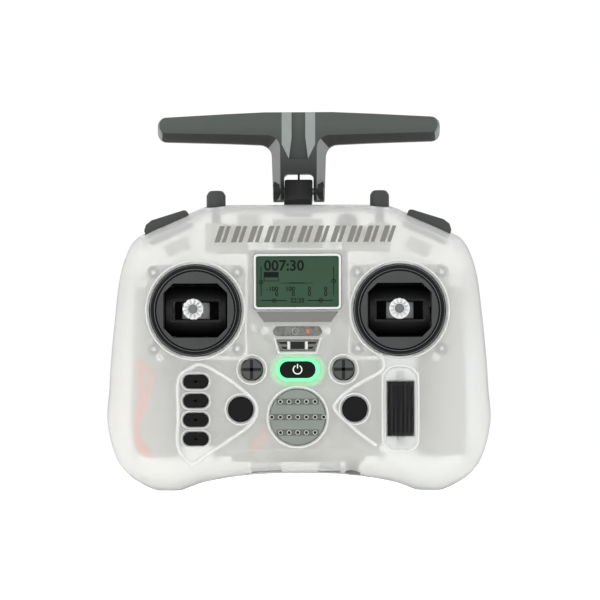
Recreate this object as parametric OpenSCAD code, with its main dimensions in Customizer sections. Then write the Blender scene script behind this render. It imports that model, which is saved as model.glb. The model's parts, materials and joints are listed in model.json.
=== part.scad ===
// Handheld radio transmitter with two sticks and a folding T antenna.
// It stands upright on its grips with the face toward -Y and +X at the viewer's right.
// The origin is under the middle of its box. Sizes are in millimetres.

/* [Body] */
// Width across the grips
body_w = 156.6; // [155.6:0.2:157.6]
// Height of the shell's flat top edge
body_h = 116.5; // [116.3:0.1:116.7]
// Distance from the middle plane to the face
face_depth = 13; // [12.8:0.1:13.2]
// Distance from the middle plane to the back of the grips
grip_depth = 33.2; // [32.8:0.1:33.4]
// Wall of the shells
wall = 2; // [1.8:0.1:2.2]

/* [Sticks] */
// Distance of each stick from the middle
stick_x = 41.4; // [41:0.1:41.8]
// Height of the sticks
stick_z = 73; // [72.6:0.1:73.4]
// Radius of the ring round each stick
ring_r = 18.8; // [18.4:0.1:19]
// Radius of the slotted drum
drum_r = 10; // [9.6:0.1:10]
// Reach of the stick ends in front of the middle plane
stick_reach = 32.5; // [31:0.1:33]

/* [Antenna] */
// Span of the antenna arms
antenna_w = 116; // [112:1:118]
// Top of the antenna when it stands up
antenna_top = 155.3; // [154:0.1:156]
// Thickness of the antenna
antenna_t = 8.4; // [8:0.1:8.6]
// Height of the hinge pin
hinge_z = 122.5; // [122.2:0.1:122.8]
// Depth of the hinge pin behind the middle plane
hinge_y = 13; // [12.9:0.1:13.2]

/* [Controls] */
// Width of the display window
window_w = 33.8; // [32:0.2:34.4]
// Height of the display window
window_h = 20.9; // [20:0.1:21.2]
// Diameter of the round buttons
round_d = 9.9; // [9:0.1:10.2]
// Length of the four small buttons
page_w = 9.9; // [9:0.1:10.2]
// Height of the four small buttons
page_h = 5.1; // [4.6:0.1:5.3]
// Diameter of the trim caps
trim_d = 8.3; // [8:0.1:8.4]
// Diameter of the roller
roller_d = 11; // [10.6:0.1:11]
// Diameter of each power cell
cell_d = 18.4; // [18.2:0.1:18.6]
// Length of each power cell
cell_l = 65; // [64.5:0.1:65.2]

/* [Hidden] */
$fn = 48;

clear = "#d8dad6";
dark = "#474947";
black = "#1c1d1d";
green_board = "#2c5a43";
metal = "#b9bcbd";

// Parting plane between the shells, and the face and its inner side.
part_y = 4;
face_y = -face_depth;
inner_y = face_y + wall;
// How far the flat face is set in from the outline at the top, sides and bottom.
TOP_IN = 2.6;
SIDE_IN = 9.5;
LOW_IN = 10.5;
// Right half of the outline from bottom middle to top middle, [x, z].
EDGE = [[0, 7], [20, 6.3], [38, 3.6], [53, -0.8], [66, 3.7], [74, 12], [78.3, 27],
    [77.6, 42], [76.6, 57], [75, 73], [73.4, 86], [71, 95], [67.6, 101.6],
    [62.4, 105.2], [53.4, 109.2], [44.2, 113.2], [37, 115.9], [26, 116.5], [0, 116.5]];
STEPS = 2;

gap = 0.3;
fit = 0.15;
BIG = 200;
// Back of the body: middle panel, flat recess for the folded antenna, and its lower end.
mid_depth = 20;
recess_y = 8;
recess_z = 89.5;
ramp_drop = 6;
CENTRE = [0, 62];
BACK_T = [1, 0.98, 0.94, 0.87, 0.8, 0.73, 0.66, 0.6, 0.54, 0.48, 0.42, 0.36, 0.2];

// Places of the controls, [x, z].
LCD = [0, 84.6];
WINDOW = [0, 64.5];
LANYARD = [0, 58.75];
POWER = [0, 48.9];
TRIM = [18.6, 49];
ROUND = [23.1, 32.9];
PAGE_X = -41.3;
PAGE_Z = [44.2, 36.4, 28.7, 21];
SPEAKER = [0, 29.7];
ROLLER = [41.6, 33];
TOGGLE = [33.3, 105];
TOGGLE_Y = -3.5;
SHOULDER = [53.5, 108.9];
SHOULDER_TILT = 24.4;
REAR_CTRL = [20, 109];
BAY = [0, 54];
BAY_SIZE = [34.4, 47.6];
CELL_X = 59.6;
CELL_Y = 16.5;
CELL_Z0 = 16;
DOOR_X = 50.5;
DOOR_Z = [14, 82];
DOOR_Y = 9;
POSTS = [[14.5, 101.5], [33.5, 13.5]];
EARS = [17, 15.5];
// Opening under each stick, with its corners cut off.
OPEN_W = 26;
OPEN_H = 22;
CORNER = 4;
// Block that the antenna turns on: its width and the depth range of its root.
hinge_block_w = 11.4;
hinge_root_y0 = -1.5;
hinge_root_y1 = 6.2;
board_y = -6.4;
board_t = 1.6;
proud = 1.2;
button_foot = board_y - 2.3;

function clamp01(t) = min(1, max(0, t));
function smooth(t) = clamp01(t) * clamp01(t) * (3 - 2 * clamp01(t));
function curve(a, b, c, d, t) =
    0.5 * (2 * b + (c - a) * t + (2 * a - 5 * b + 4 * c - d) * t * t
    + (3 * b - a - 3 * c + d) * t * t * t);
function around(list, i) = list[(i + len(list)) % len(list)];

HALF = [for (p = EDGE) [p.x * body_w / 156.6, p.y > 100 ? p.y + body_h - 116.5 : p.y]];
LOOP = concat(HALF, [for (i = [len(HALF) - 2:-1:1]) [-HALF[i].x, HALF[i].y]]);
OUTLINE = [for (i = [0:len(LOOP) - 1]) for (k = [0:STEPS - 1])
    curve(around(LOOP, i - 1), LOOP[i], around(LOOP, i + 1), around(LOOP, i + 2), k / STEPS)];
COUNT = len(OUTLINE);
function outward(i) =
    let (t = around(OUTLINE, i + 1) - around(OUTLINE, i - 1)) [t.y, -t.x] / norm(t);
function face_inset(n) =
    SIDE_IN * n.x * n.x + (n.y > 0 ? TOP_IN : LOW_IN) * n.y * n.y;

// Ring of the front shell at a turn of the edge's quarter round, 0 at the parting plane.
function front_ring(turn, thick) = [for (i = [0:COUNT - 1])
    let (n = outward(i), p = OUTLINE[i] - n * (face_inset(n) * (1 - cos(turn)) + thick))
    [p.x, part_y - (part_y - face_y - thick) * sin(turn), p.y]];
// Depth of the back at a place, and the roll-off toward the outline.
function back_depth(x) =
    mid_depth + (grip_depth - mid_depth) * smooth((abs(x) - 30) / 16);
function fullness(t) = pow(1 - pow(t, 8), 0.4);
function back_ring(t, thick) = [for (i = [0:COUNT - 1])
    let (p = OUTLINE[i] - outward(i) * thick, q = CENTRE + t * (p - CENTRE))
    [q.x, part_y + (back_depth(q.x) - thick - part_y) * fullness(t), q.y]];

// Closed solid through rings of equal count, with each end fanned round a middle point.
module loft(rings) {
    n = len(rings[0]);
    last = len(rings) - 1;
    points = [for (r = rings) for (p = r) p];
    hubs = [for (r = [rings[0], rings[last]]) [CENTRE.x, r[0].y, CENTRE.y]];
    sides = [for (k = [0:last - 1]) for (i = [0:n - 1]) for (tri = [0, 1])
        let (a = k * n + i, b = k * n + (i + 1) % n)
        tri == 0 ? [a, b, b + n] : [a, b + n, a + n]];
    ends = [for (i = [0:n - 1]) for (e = [0, 1])
        let (a = e * last * n + i, b = e * last * n + (i + 1) % n)
        e == 0 ? [b, a, len(points)] : [a, b, len(points) + 1]];
    polyhedron(concat(points, hubs), concat(sides, ends));
}

// Small helpers: both sides, a place on the face, a rounded slab and a pill along Y.
module both() {
    children();
    mirror([1, 0, 0]) children();
}
module at(p, y = 0) {
    translate([p.x, y, p.y]) children();
}
module depthwise(y0, y1) {
    translate([0, y1, 0]) rotate([90, 0, 0]) linear_extrude(y1 - y0) children();
}
module round_rect(w, h, r) {
    union() {
        square([w - 2 * r, h], center = true);
        square([w, h - 2 * r], center = true);
        for (x = [-1, 1]) for (z = [-1, 1])
            translate([x * (w / 2 - r), z * (h / 2 - r)]) circle(r);
    }
}
module pill(w, h) {
    round_rect(w, h, h / 2 - 0.001);
}
module box(a, b) {
    translate(a) cube(b - a);
}
module rod_x(r, x0, x1) {
    translate([x0, 0, 0]) rotate([0, 90, 0]) cylinder(r = r, h = x1 - x0);
}
module rod_y(r, y0, y1) {
    translate([0, y1, 0]) rotate([90, 0, 0]) cylinder(r = r, h = y1 - y0);
}
module rod_z(r, z0, z1) {
    translate([0, 0, z0]) cylinder(r = r, h = z1 - z0);
}

// Stiff outer shapes shared by both shells.
module floor_cut() {
    box([-BIG, -BIG, -BIG], [BIG, BIG, 0]);
}
module recess(back, lower) {
    rotate([90, 0, 90]) linear_extrude(BIG, center = true)
        polygon([[recess_y - back, recess_z - lower], [recess_y - back, BIG],
            [BIG, BIG], [BIG, recess_z - lower - ramp_drop],
            [grip_depth, recess_z - lower - ramp_drop]]);
}
module back_skin() {
    difference() {
        loft([for (t = BACK_T) back_ring(t, 0)]);
        difference() {
            translate([0, -0.01, 0]) loft([for (t = BACK_T) back_ring(t, wall)]);
            recess(wall, wall);
            both() for (p = POSTS) at(p) rod_y(2.8, part_y, BIG);
        }
        recess(0, 0);
        floor_cut();
    }
}
// Openings that pass through the top edge of both shells.
module top_cuts() {
    box([-hinge_block_w / 2 - fit, hinge_root_y0 - fit, body_h - 6],
        [hinge_block_w / 2 + fit, hinge_root_y1 + fit, body_h + 5]);
    both() {
        translate([TOGGLE.x, TOGGLE_Y, body_h - 6]) linear_extrude(12)
            rotate(90) pill(14.6, 8.6);
        shoulder_place() box([-9.95, -6.6, -8], [9.95, 6.6, 8]);
    }
}
module shoulder_place() {
    at(SHOULDER, -2) rotate([0, SHOULDER_TILT, 0]) children();
}
module bottom_cuts() {
    at([12.5, 0], -3.1) linear_extrude(20) round_rect(9.4, 3.6, 1.6);
    at([-13, 0], -3.1) linear_extrude(20) square([12.4, 1.8], center = true);
    at([22, 0], -2.6) cylinder(r = 3.3, h = 20);
}

module front_shell() {
    color(clear) difference() {
        loft([for (a = [90:-22.5:0]) front_ring(a, 0)]);
        difference() {
            translate([0, 0.01, 0]) loft([for (a = [90:-22.5:0]) front_ring(a, wall)]);
            both() for (p = POSTS) at(p) rod_y(2.6, face_y, 3.4);
            both() at([stick_x, stick_z]) for (x = [-1, 1]) for (z = [-1, 1])
                at([x * EARS.x, z * EARS.y]) rod_y(2.4, face_y, -9.45);
        }
        floor_cut();
        both() {
            for (p = POSTS) at(p) rod_y(0.9, -7, 6);
            at([stick_x, stick_z]) {
                rod_y(ring_r - 1.3, -BIG, inner_y + 1);
                for (x = [-1, 1]) for (z = [-1, 1])
                    at([x * EARS.x, z * EARS.y]) rod_y(1, -12, -9);
            }
            at(TRIM) rod_y(trim_d / 2 + 0.5, -BIG, inner_y + 1);
            at(ROUND) rod_y(round_d / 2 + 0.25, -BIG, inner_y + 1);
        }
        depthwise(-BIG, inner_y + 1) {
            translate(LCD) square([window_w + 3, window_h + 3], center = true);
            translate(WINDOW) pill(19.9, 4);
            translate(LANYARD) lanyard_outline(0.15);
            translate(POWER) pill(18.2, 9.6);
            for (z = PAGE_Z) translate([PAGE_X, z]) pill(page_w + 0.5, page_h + 0.5);
            translate(ROLLER) round_rect(13, 33.6, 5);
        }
        at(SPEAKER) rod_y(11.5, -BIG, inner_y + 1);
        top_cuts();
        bottom_cuts();
    }
}

module rear_shell() {
    inner = BAY_SIZE / 2;
    color(clear) difference() {
        union() {
            back_skin();
            translate([BAY.x, 0, BAY.y])
                box([-inner.x - 1.4, 1.5, -inner.y - 1.4], [inner.x + 1.4, 18.6, inner.y + 1.4]);
        }
        translate([BAY.x, 0, BAY.y])
            box([-inner.x, 2.9, -inner.y], [inner.x, 40, inner.y]);
        box([-11, 1, BAY.y + 4], [11, 4, BAY.y + 8]);
        both() {
            for (p = POSTS) {
                at(p) rod_y(1.25, 3, 40);
                at(p) rod_y(2.1, p.y > 50 ? 5.7 : 7, 40);
            }
            box([DOOR_X - gap, DOOR_Y - gap, DOOR_Z[0] - gap], [BIG, BIG, DOOR_Z[1] + gap]);
        }
        at([REAR_CTRL.x, REAR_CTRL.y]) rod_y(3.75, 3, 12);
        at([-REAR_CTRL.x, REAR_CTRL.y]) rod_y(1.7, 3, 12);
        top_cuts();
        bottom_cuts();
    }
}

module lanyard_outline(grow) {
    polygon([[-8.6 - grow, 2.25 + grow], [-6.8 - grow, -2.25 - grow],
        [6.8 + grow, -2.25 - grow], [8.6 + grow, 2.25 + grow]]);
}
module lanyard_anchor() {
    color(black) difference() {
        union() {
            depthwise(-12.4, inner_y + 0.2) translate(LANYARD) lanyard_outline(0);
            depthwise(inner_y + 0.1, -7.4) translate(LANYARD) square([19.4, 7], center = true);
        }
        difference() {
            depthwise(-20, -8.9) translate(LANYARD) lanyard_outline(-0.8);
            for (x = [-1, 1]) at([x * 3.4, LANYARD.y]) box([-0.6, -12.6, -3], [0.6, -8, 3]);
            at(LANYARD, -11) rod_x(0.8, -9, 9);
        }
    }
}

module lcd_frame() {
    color("#dcdeda") depthwise(face_y - 0.7, inner_y - 0.2) translate(LCD) difference() {
        round_rect(window_w + 2.7, window_h + 2.7, 1.2);
        square([window_w, window_h], center = true);
    }
}
module lcd_glass() {
    color("#6f8a70") depthwise(face_y + 0.3, inner_y - 0.7) translate(LCD)
        square([window_w - 0.2, window_h - 0.2], center = true);
}
module lcd_module() {
    color("#3d5f49") {
        depthwise(inner_y - 0.5, inner_y + 0.15) translate(LCD)
            square([window_w - 1, window_h - 1], center = true);
        depthwise(inner_y + 0.1, -7.3) translate(LCD) square([38, 26], center = true);
    }
}
module status_window() {
    color("#9a9c96") depthwise(face_y + 0.3, inner_y - 0.1) translate(WINDOW) pill(19.6, 3.7);
}
module power_light_ring() {
    color("#29c463") depthwise(face_y - 0.2, inner_y - 0.2) translate(POWER) difference() {
        pill(18, 9.4);
        pill(14.7, 6.9);
    }
}
module speaker_grille() {
    color("#7d7f7c") difference() {
        at(SPEAKER) rod_y(11.2, face_y - 0.5, inner_y - 0.3);
        at(SPEAKER) for (row = [-1, 0, 1]) {
            for (k = [-2 - (row == 0 ? 1 : 0):2 + (row == 0 ? 1 : 0)])
                at([k * 3.1, row * 6.3]) rod_y(0.55, -20, -5);
        }
    }
}
module speaker() {
    color(black) at(SPEAKER) difference() {
        rod_y(10, inner_y + 0.2, board_y - 0.2);
        rod_y(8.6, inner_y - 1, inner_y + 1.2);
    }
}

module main_board() {
    color(green_board) difference() {
        depthwise(board_y, board_y + board_t) {
            translate([-20.5, 50]) square([41, 47.8]);
            translate([-50, 18]) square([83.4, 35]);
            translate([-27, 12]) square([54, 7]);
        }
        both() for (x = [10, 18]) at([x, 66]) rod_y(1.1, -8, 0);
    }
}
module tact(p, h = 1.6) {
    at(p) {
        box([-1.9, board_y - 1.1, -1.9], [1.9, board_y, 1.9]);
        rod_y(0.9, board_y - h, board_y - 1);
    }
}
module board_switches() {
    color("#c9cac8") {
        for (z = PAGE_Z) tact([PAGE_X, z]);
        both() {
            tact(ROUND);
            for (a = [45:90:315]) tact([TRIM.x + 3.2 * cos(a), TRIM.y + 3.2 * sin(a)], 1.7);
        }
        tact(POWER);
        box([38.6, -1.2, 30], [44.6, 2.4, 36]);
    }
}
module rf_module() {
    color("#1f4d3a") box([-10, -4.4, 99], [10, -3.2, 110.3]);
    color(metal) box([-7.5, -3.2, 100.5], [7.5, -1.6, 109]);
}
module module_pins() {
    color(black) box([-10.6, board_y + board_t, BAY.y + 4.3], [10.6, 1.1, BAY.y + 7.7]);
    color("#c9a24a") for (k = [-3.5:3.5])
        translate([k * 2.54, 0, BAY.y + 6]) rod_y(0.4, 1.1, 9);
}
module module_cover() {
    color(clear) {
        translate([BAY.x, 0, BAY.y]) {
            box([-BAY_SIZE.x / 2 + gap, 17.6, -BAY_SIZE.y / 2 + gap],
                [BAY_SIZE.x / 2 - gap, 19.8, BAY_SIZE.y / 2 - gap]);
            for (x = [-1, 1]) box([x * 12 - 3, 12.5, BAY_SIZE.y / 2 - gap - 1.4],
                [x * 12 + 3, 17.7, BAY_SIZE.y / 2 - gap]);
            for (x = [-1, 1]) box([x * 12 - 3, 12.5, -BAY_SIZE.y / 2 + gap],
                [x * 12 + 3, 17.7, -BAY_SIZE.y / 2 + gap + 1.4]);
        }
    }
}

// Stick units. Each is drawn round its own middle and placed on its side.
module gimbal_place(side) {
    translate([side * stick_x, 0, stick_z]) children();
}
module gimbal_ring(side) {
    barrel = ring_r - 1.5;
    color(black) gimbal_place(side) difference() {
        rotate([90, 0, 0]) rotate_extrude() polygon([[0, 9.45], [barrel, 9.45],
            [barrel, 13.1], [ring_r, 13.1], [ring_r, 14.0], [ring_r - 0.5, 14.6],
            [ring_r - 1.5, 14.6], [ring_r - 1.8, 14.2], [ring_r - 2.6, 14.2],
            [ring_r - 3, 13.6], [10.5, 12], [0, 12]]);
        depthwise(-20, -5) opening_hull();
    }
}
module opening_hull() {
    intersection() {
        square([OPEN_W, OPEN_H], center = true);
        rotate(45) square((OPEN_W + OPEN_H - 2 * CORNER) / sqrt(2), center = true);
    }
}
module gimbal_frame(side) {
    color("#3a3c3b") gimbal_place(side) difference() {
        union() {
            depthwise(-9.3, -7.5) round_rect(2 * EARS.x + 6, 2 * EARS.y + 6, 3);
            depthwise(-9.2, 5.5) square([32, 28], center = true);
        }
        depthwise(-20, 20) square([25.4, 22.2], center = true);
        rod_x(1.55, -20, 20);
        for (x = [-1, 1]) for (z = [-1, 1]) at([x * EARS.x, z * EARS.y]) rod_y(1.25, -12, 0);
        for (x = [-1, 1]) for (z = [-1, 1]) at([x * EARS.x, z * EARS.y]) rod_y(2.2, -7.5, 6);
    }
}
module drum(side) {
    r = drum_r;
    color(black) gimbal_place(side) difference() {
        union() {
            intersection() {
                rod_x(r, -12.2, 12.2);
                box([-13, -r, -r], [13, 2, r]);
            }
            rod_x(1.5, -15.7, 15.7);
        }
        intersection() {
            rod_x(r - 1.5, -10.9, 10.9);
            box([-11, -r, -r], [11, 3, r]);
        }
        box([-9.4, -r - 1, -3.7], [9.4, -1, 3.7]);
        rod_z(1.05, -r - 1, r + 1);
    }
}
module stick(side) {
    color("#55585a") gimbal_place(side) {
        difference() {
            union() {
                intersection() {
                    rod_z(9.6, -3.3, 3.3);
                    box([-5.5, -10, -4], [5.5, 2, 4]);
                }
                rod_y(2.3, -15, -9);
                rod_y(1.6, -27, -14.9);
            }
        }
        rod_z(1, -9.2, 9.2);
    }
}
module stick_end(side) {
    base = -20.5;
    color("#c9cccd") gimbal_place(side) difference() {
        union() {
            rod_y(3, base - 4, base);
            rod_y(3.4, -stick_reach + 1.6, base - 2);
            for (k = [0:11]) rotate([0, k * 30, 0])
                box([-0.5, -stick_reach, 2.2], [0.5, base - 2.5, 4.2]);
        }
        rod_y(1.65, -stick_reach - 1, base + 1);
    }
}
module gimbal_sensors() {
    color("#274f3c") for (side = [-1, 1]) gimbal_place(side) {
        box([16.3, -6, -5], [18.2, 4.5, 5]);
        box([-6, -6.8, -17.2], [6, 4.5, -14.3]);
    }
}

// Power cells, their half sleeves and spring contacts.
module cell(side) {
    color("#4a5fae") translate([side * CELL_X, CELL_Y, CELL_Z0]) {
        cylinder(d = cell_d, h = cell_l - 1);
        cylinder(d = 6, h = cell_l);
    }
}
module battery_trays() {
    color("#2d2f30") for (side = [-1, 1]) translate([side * CELL_X, CELL_Y, 0]) {
        intersection() {
            difference() {
                rod_z(10.4, CELL_Z0 - 2.5, CELL_Z0 + cell_l + 2.5);
                rod_z(9.5, CELL_Z0 - 1.9, CELL_Z0 + cell_l + 1.9);
            }
            box([-12, -12, 0], [12, 0, 100]);
        }
    }
}
module battery_contacts() {
    color(metal) for (side = [-1, 1]) translate([side * CELL_X, CELL_Y, 0]) {
        for (k = [0, 1]) translate([0, 0, k == 0 ? CELL_Z0 - 1.8 : CELL_Z0 + cell_l + 1.4])
            box([-3.5, -7, 0], [3.5, -0.5, 0.4]);
        translate([0, -2.5, CELL_Z0 - 1.4]) difference() {
            cylinder(r = 1.9, h = 1.3);
            translate([0, 0, -1]) cylinder(r = 1.2, h = 4);
        }
        translate([0, -2.5, CELL_Z0 + cell_l + 0.1]) cylinder(r = 0.8, h = 1.3);
    }
}
module battery_door(side) {
    // Short tongues at the inner edge reach under the shell.
    color(clear) mirror([side < 0 ? 1 : 0, 0, 0]) {
        intersection() {
            back_skin();
            box([DOOR_X, DOOR_Y, DOOR_Z[0]], [BIG, BIG, DOOR_Z[1]]);
        }
        for (z = [34, 60]) {
            box([DOOR_X - 3, grip_depth - 5.2, z - 4], [DOOR_X + 2.5, grip_depth - 3.8, z + 4]);
            box([DOOR_X + 0.2, grip_depth - 4.2, z - 4], [DOOR_X + 2.5, grip_depth - 1.4, z + 4]);
        }
    }
}

// Switches under the top edge.
module toggle_place(side) {
    translate([side * TOGGLE.x, TOGGLE_Y, TOGGLE.y]) children();
}
module top_switches() {
    toggle_bodies();
    shoulder_bodies();
    dial_pot();
}
module toggle_bodies() {
    color(dark) for (side = [-1, 1]) toggle_place(side) difference() {
        box([-4.2, -6.5, -7], [4.2, 6.5, 3.5]);
        box([-2.9, -5.5, -4], [2.9, 5.5, 5]);
        rod_x(1.05, -5, 5);
    }
}
module toggle(side) {
    color(black) toggle_place(side) {
        rod_x(1, -3.9, 3.9);
        rod_x(2, -2.5, 2.5);
        rod_z(1.8, 0.5, 9);
        rod_z(3.9, 8.2, 14.6);
        translate([0, 0, 14.6]) rotate_extrude() intersection() {
            square([3.9, 2.4]);
            translate([0, -0.9]) circle(r = 4.1);
        }
    }
}
module shoulder_bodies() {
    color("#2c2e2f") both() shoulder_place() box([-5, -5, -12.5], [5, 5, -8.3]);
}
module shoulder_button() {
    color(dark) shoulder_place() rotate([90, 0, 0]) linear_extrude(12.4, center = true)
        polygon([[-9.6, -5.6], [-9.6, 0.9], [-8.8, 1.7], [4.9, 3.4], [7.8, 2.7],
            [9.6, 0.7], [9.6, -5.6]]);
}
module left_shoulder_button() {
    mirror([1, 0, 0]) shoulder_button();
}
module right_shoulder_button() {
    shoulder_button();
}

// Keys in the face. Each has a cap, a wider foot behind the face and a short stem.
module key_cap(p, front) {
    color(black) at(p) {
        depthwise(face_y - front, inner_y + 0.3) children(0);
        depthwise(inner_y + 0.25, inner_y + 0.9) offset(delta = 0.6) children(0);
        rod_y(1.1, inner_y + 0.8, button_foot);
    }
}
module page_button(k) {
    key_cap([PAGE_X, PAGE_Z[k]], proud) pill(page_w, page_h);
}
module round_button(side) {
    key_cap([side * ROUND.x, ROUND.y], proud) circle(d = round_d);
}
module power_button() {
    key_cap(POWER, 0.9) pill(14.1, 6.3);
}
module trim_cap(side) {
    color("#8b8d8b") at([side * TRIM.x, TRIM.y]) difference() {
        union() {
            rod_y(trim_d / 2, face_y - 1.4, -10.3);
            rod_y(1.2, -10.4, -9.6);
        }
        box([-5, face_y - 2, -0.45], [5, face_y - 0.8, 0.45]);
        box([-0.45, face_y - 2, -5], [0.45, face_y - 0.8, 5]);
    }
}
module trim_pivot(side) {
    color(metal) at([side * TRIM.x, TRIM.y], -8.8) {
        rod_x(0.5, -1.3, 1.3);
        rod_z(0.5, -1.3, 1.3);
    }
}

module roller() {
    r = roller_d / 2;
    color(black) at(ROLLER, face_y + 2) difference() {
        union() {
            rod_z(r, -11, 11);
            rod_z(1.5, -14.8, 14.8);
        }
        for (k = [0:17]) rotate(k * 20) translate([r, 0, 0]) cylinder(r = 0.4, h = 19, center = true);
    }
}
module roller_carrier() {
    color(clear) at(ROLLER, 0) difference() {
        intersection() {
            union() {
                box([-6, -4.6, -16.3], [6, -3, 16.3]);
                for (s = [-1, 1])
                    box([-6, -12.6, s > 0 ? 11.4 : -16.3], [6, -4, s > 0 ? 16.3 : -11.4]);
            }
            depthwise(face_y, 0) round_rect(12.2, 32.8, 4.7);
        }
        translate([0, face_y + 2, 0]) rod_z(1.55, -15.1, 15.1);
    }
}

module rear_button() {
    color(dark) at(REAR_CTRL) {
        rod_y(3.5, 4.6, 9.6);
        rod_y(4.5, 3.9, 5.2);
    }
}
module rear_dial() {
    color(dark) at([-REAR_CTRL.x, REAR_CTRL.y]) difference() {
        union() {
            rod_y(4.6, 8.4, 11.8);
            rod_y(1.5, 2.4, 8.5);
        }
        for (k = [0:15]) rotate([0, k * 22.5, 0]) translate([4.6, 0, 0]) rod_y(0.35, 8, 12);
    }
}
module dial_pot() {
    color("#3b3d3e") at([-REAR_CTRL.x, REAR_CTRL.y]) difference() {
        box([-4.6, -1, -4.4], [4.6, 4.2, 4.4]);
        rod_y(1.55, 1.9, 5);
    }
}

module usb_port() {
    color(metal) at([12.5, 0], -3.1) difference() {
        translate([0, 0, 8]) linear_extrude(8) round_rect(9, 3.2, 1.4);
        translate([0, 0, 7]) linear_extrude(7) round_rect(8.3, 2.5, 1.1);
    }
}
module card_slot() {
    color(metal) at([-13, 0], -3.1) difference() {
        translate([0, 0, 9]) linear_extrude(9) square([12, 1.4], center = true);
        translate([0, 0, 8]) linear_extrude(8) square([11.2, 0.7], center = true);
    }
}
module audio_jack() {
    color(black) at([22, 0], -2.2) difference() {
        union() {
            translate([-3, -2.2, 11.6]) cube([6, 4.6, 7]);
            translate([0, -0.4, 8]) cylinder(r = 2.9, h = 4);
        }
        translate([0, -0.4, 7]) cylinder(r = 1.75, h = 9);
    }
}
module screws() {
    color(metal) both() {
        for (p = POSTS) at(p) {
            depth = p.y > 50 ? 5.8 : 7.1;
            rod_y(0.85, -6, depth);
            rod_y(1.9, depth - 0.05, depth + 1.2);
        }
        at([stick_x, stick_z]) for (x = [-1, 1]) for (z = [-1, 1])
            at([x * EARS.x, z * EARS.y]) {
                rod_y(0.95, -11.8, -7.4);
                rod_y(1.9, -7.45, -6.4);
            }
    }
}

// Folding antenna and its hinge.
module hinge_block() {
    color(black) difference() {
        rotate([90, 0, 90]) linear_extrude(hinge_block_w, center = true) union() {
            polygon([[hinge_root_y0, 111.4], [hinge_root_y1, 111.4], [hinge_root_y1, 117],
                [hinge_y - 1, 118.2], [hinge_y, hinge_z + 4.9], [7, 127], [2, 121],
                [hinge_root_y0, 118.6]]);
            translate([hinge_y, hinge_z]) circle(4.9);
        }
        translate([0, hinge_y, hinge_z]) rod_x(1.55, -9, 9);
    }
}
module hinge_pin() {
    color(metal) translate([0, hinge_y, hinge_z]) rod_x(1.5, -10.4, 10.4);
}
module antenna_outline() {
    w = antenna_w / 2;
    t = antenna_top;
    offset(r = -5) offset(delta = 5) offset(r = 3.6) offset(delta = -3.6) union() {
        polygon([[-w, t - 2], [-w, t - 12], [-10.6, t - 13.6], [-11.2, hinge_z],
            [11.2, hinge_z], [10.6, t - 13.6], [w, t - 12], [w, t - 2], [0, t]]);
    }
}
module antenna() {
    color(dark) difference() {
        union() {
            intersection() {
                translate([0, hinge_y, 0]) depthwise(-antenna_t / 2, antenna_t / 2)
                    antenna_outline($fn = 24);
                box([-BIG, -BIG, hinge_z + 2], [BIG, BIG, BIG]);
            }
            translate([0, hinge_y, hinge_z]) rod_x(4.5, -11.2, 11.2);
            box([-11.2, hinge_y - antenna_t / 2, hinge_z], [11.2, hinge_y + antenna_t / 2, hinge_z + 3]);
        }
        box([-6.1, 0, hinge_z - 10], [6.1, 30, hinge_z + 7.2]);
        translate([0, hinge_y, hinge_z]) rod_x(1.5, -10.4, 10.4);
        box([-2.7, hinge_y - antenna_t, hinge_z + 9.5], [2.7, hinge_y - antenna_t / 2 + 1.6, antenna_top + 2]);
        translate([0, hinge_y, 0]) rod_z(0.5, hinge_z + 6, hinge_z + 14);
    }
}
module antenna_cable() {
    color(black) translate([0, hinge_y, 0]) rod_z(0.45, hinge_z + 5.05, hinge_z + 13);
}

front_shell();
rear_shell();
lcd_frame();
lcd_glass();
lcd_module();
status_window();
lanyard_anchor();
power_light_ring();
speaker_grille();
speaker();
main_board();
board_switches();
rf_module();
module_pins();
module_cover();
gimbal_ring(-1);  // left_gimbal_ring
gimbal_ring(1);  // right_gimbal_ring
gimbal_frame(-1);  // left_gimbal_frame
gimbal_frame(1);  // right_gimbal_frame
gimbal_sensors();
cell(-1);  // left_cell
cell(1);  // right_cell
battery_trays();
battery_contacts();
top_switches();
usb_port();
card_slot();
audio_jack();
screws();
hinge_block();
antenna();
antenna_cable();
hinge_pin();
drum(-1);  // left_drum
drum(1);  // right_drum
stick(-1);  // left_stick
stick(1);  // right_stick
stick_end(-1);  // left_stick_end
stick_end(1);  // right_stick_end
page_button(0);  // page_button_1
page_button(1);  // page_button_2
page_button(2);  // page_button_3
page_button(3);  // page_button_4
round_button(-1);  // left_round_button
round_button(1);  // right_round_button
power_button();
trim_cap(-1);  // left_trim
trim_cap(1);  // right_trim
trim_pivot(-1);  // left_trim_pivot
trim_pivot(1);  // right_trim_pivot
roller();
roller_carrier();
toggle(-1);  // left_toggle
toggle(1);  // right_toggle
left_shoulder_button();
right_shoulder_button();
rear_button();
rear_dial();
battery_door(-1);  // left_battery_door
battery_door(1);  // right_battery_door
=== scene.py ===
"""Looks of a handheld radio transmitter: frosted shells, controls, antenna and stage."""
import json
import math

import bmesh
import bpy
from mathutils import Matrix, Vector


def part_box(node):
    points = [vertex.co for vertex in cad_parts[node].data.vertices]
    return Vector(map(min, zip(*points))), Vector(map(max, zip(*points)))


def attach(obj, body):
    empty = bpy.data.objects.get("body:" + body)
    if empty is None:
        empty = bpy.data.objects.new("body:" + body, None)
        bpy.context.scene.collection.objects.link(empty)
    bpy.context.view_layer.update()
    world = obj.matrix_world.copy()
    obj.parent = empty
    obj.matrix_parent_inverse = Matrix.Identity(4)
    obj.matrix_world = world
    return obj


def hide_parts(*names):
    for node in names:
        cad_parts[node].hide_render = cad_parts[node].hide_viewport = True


bl_info = {
    "name": "Radio Transmitter Looks",
    "version": (1, 0, 0),
    "blender": (4, 5, 0),
    "location": "View3D > Sidebar > Transmitter",
    "description": "Builds the visible pieces of a handheld radio transmitter",
    "category": "Object",
}

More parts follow.
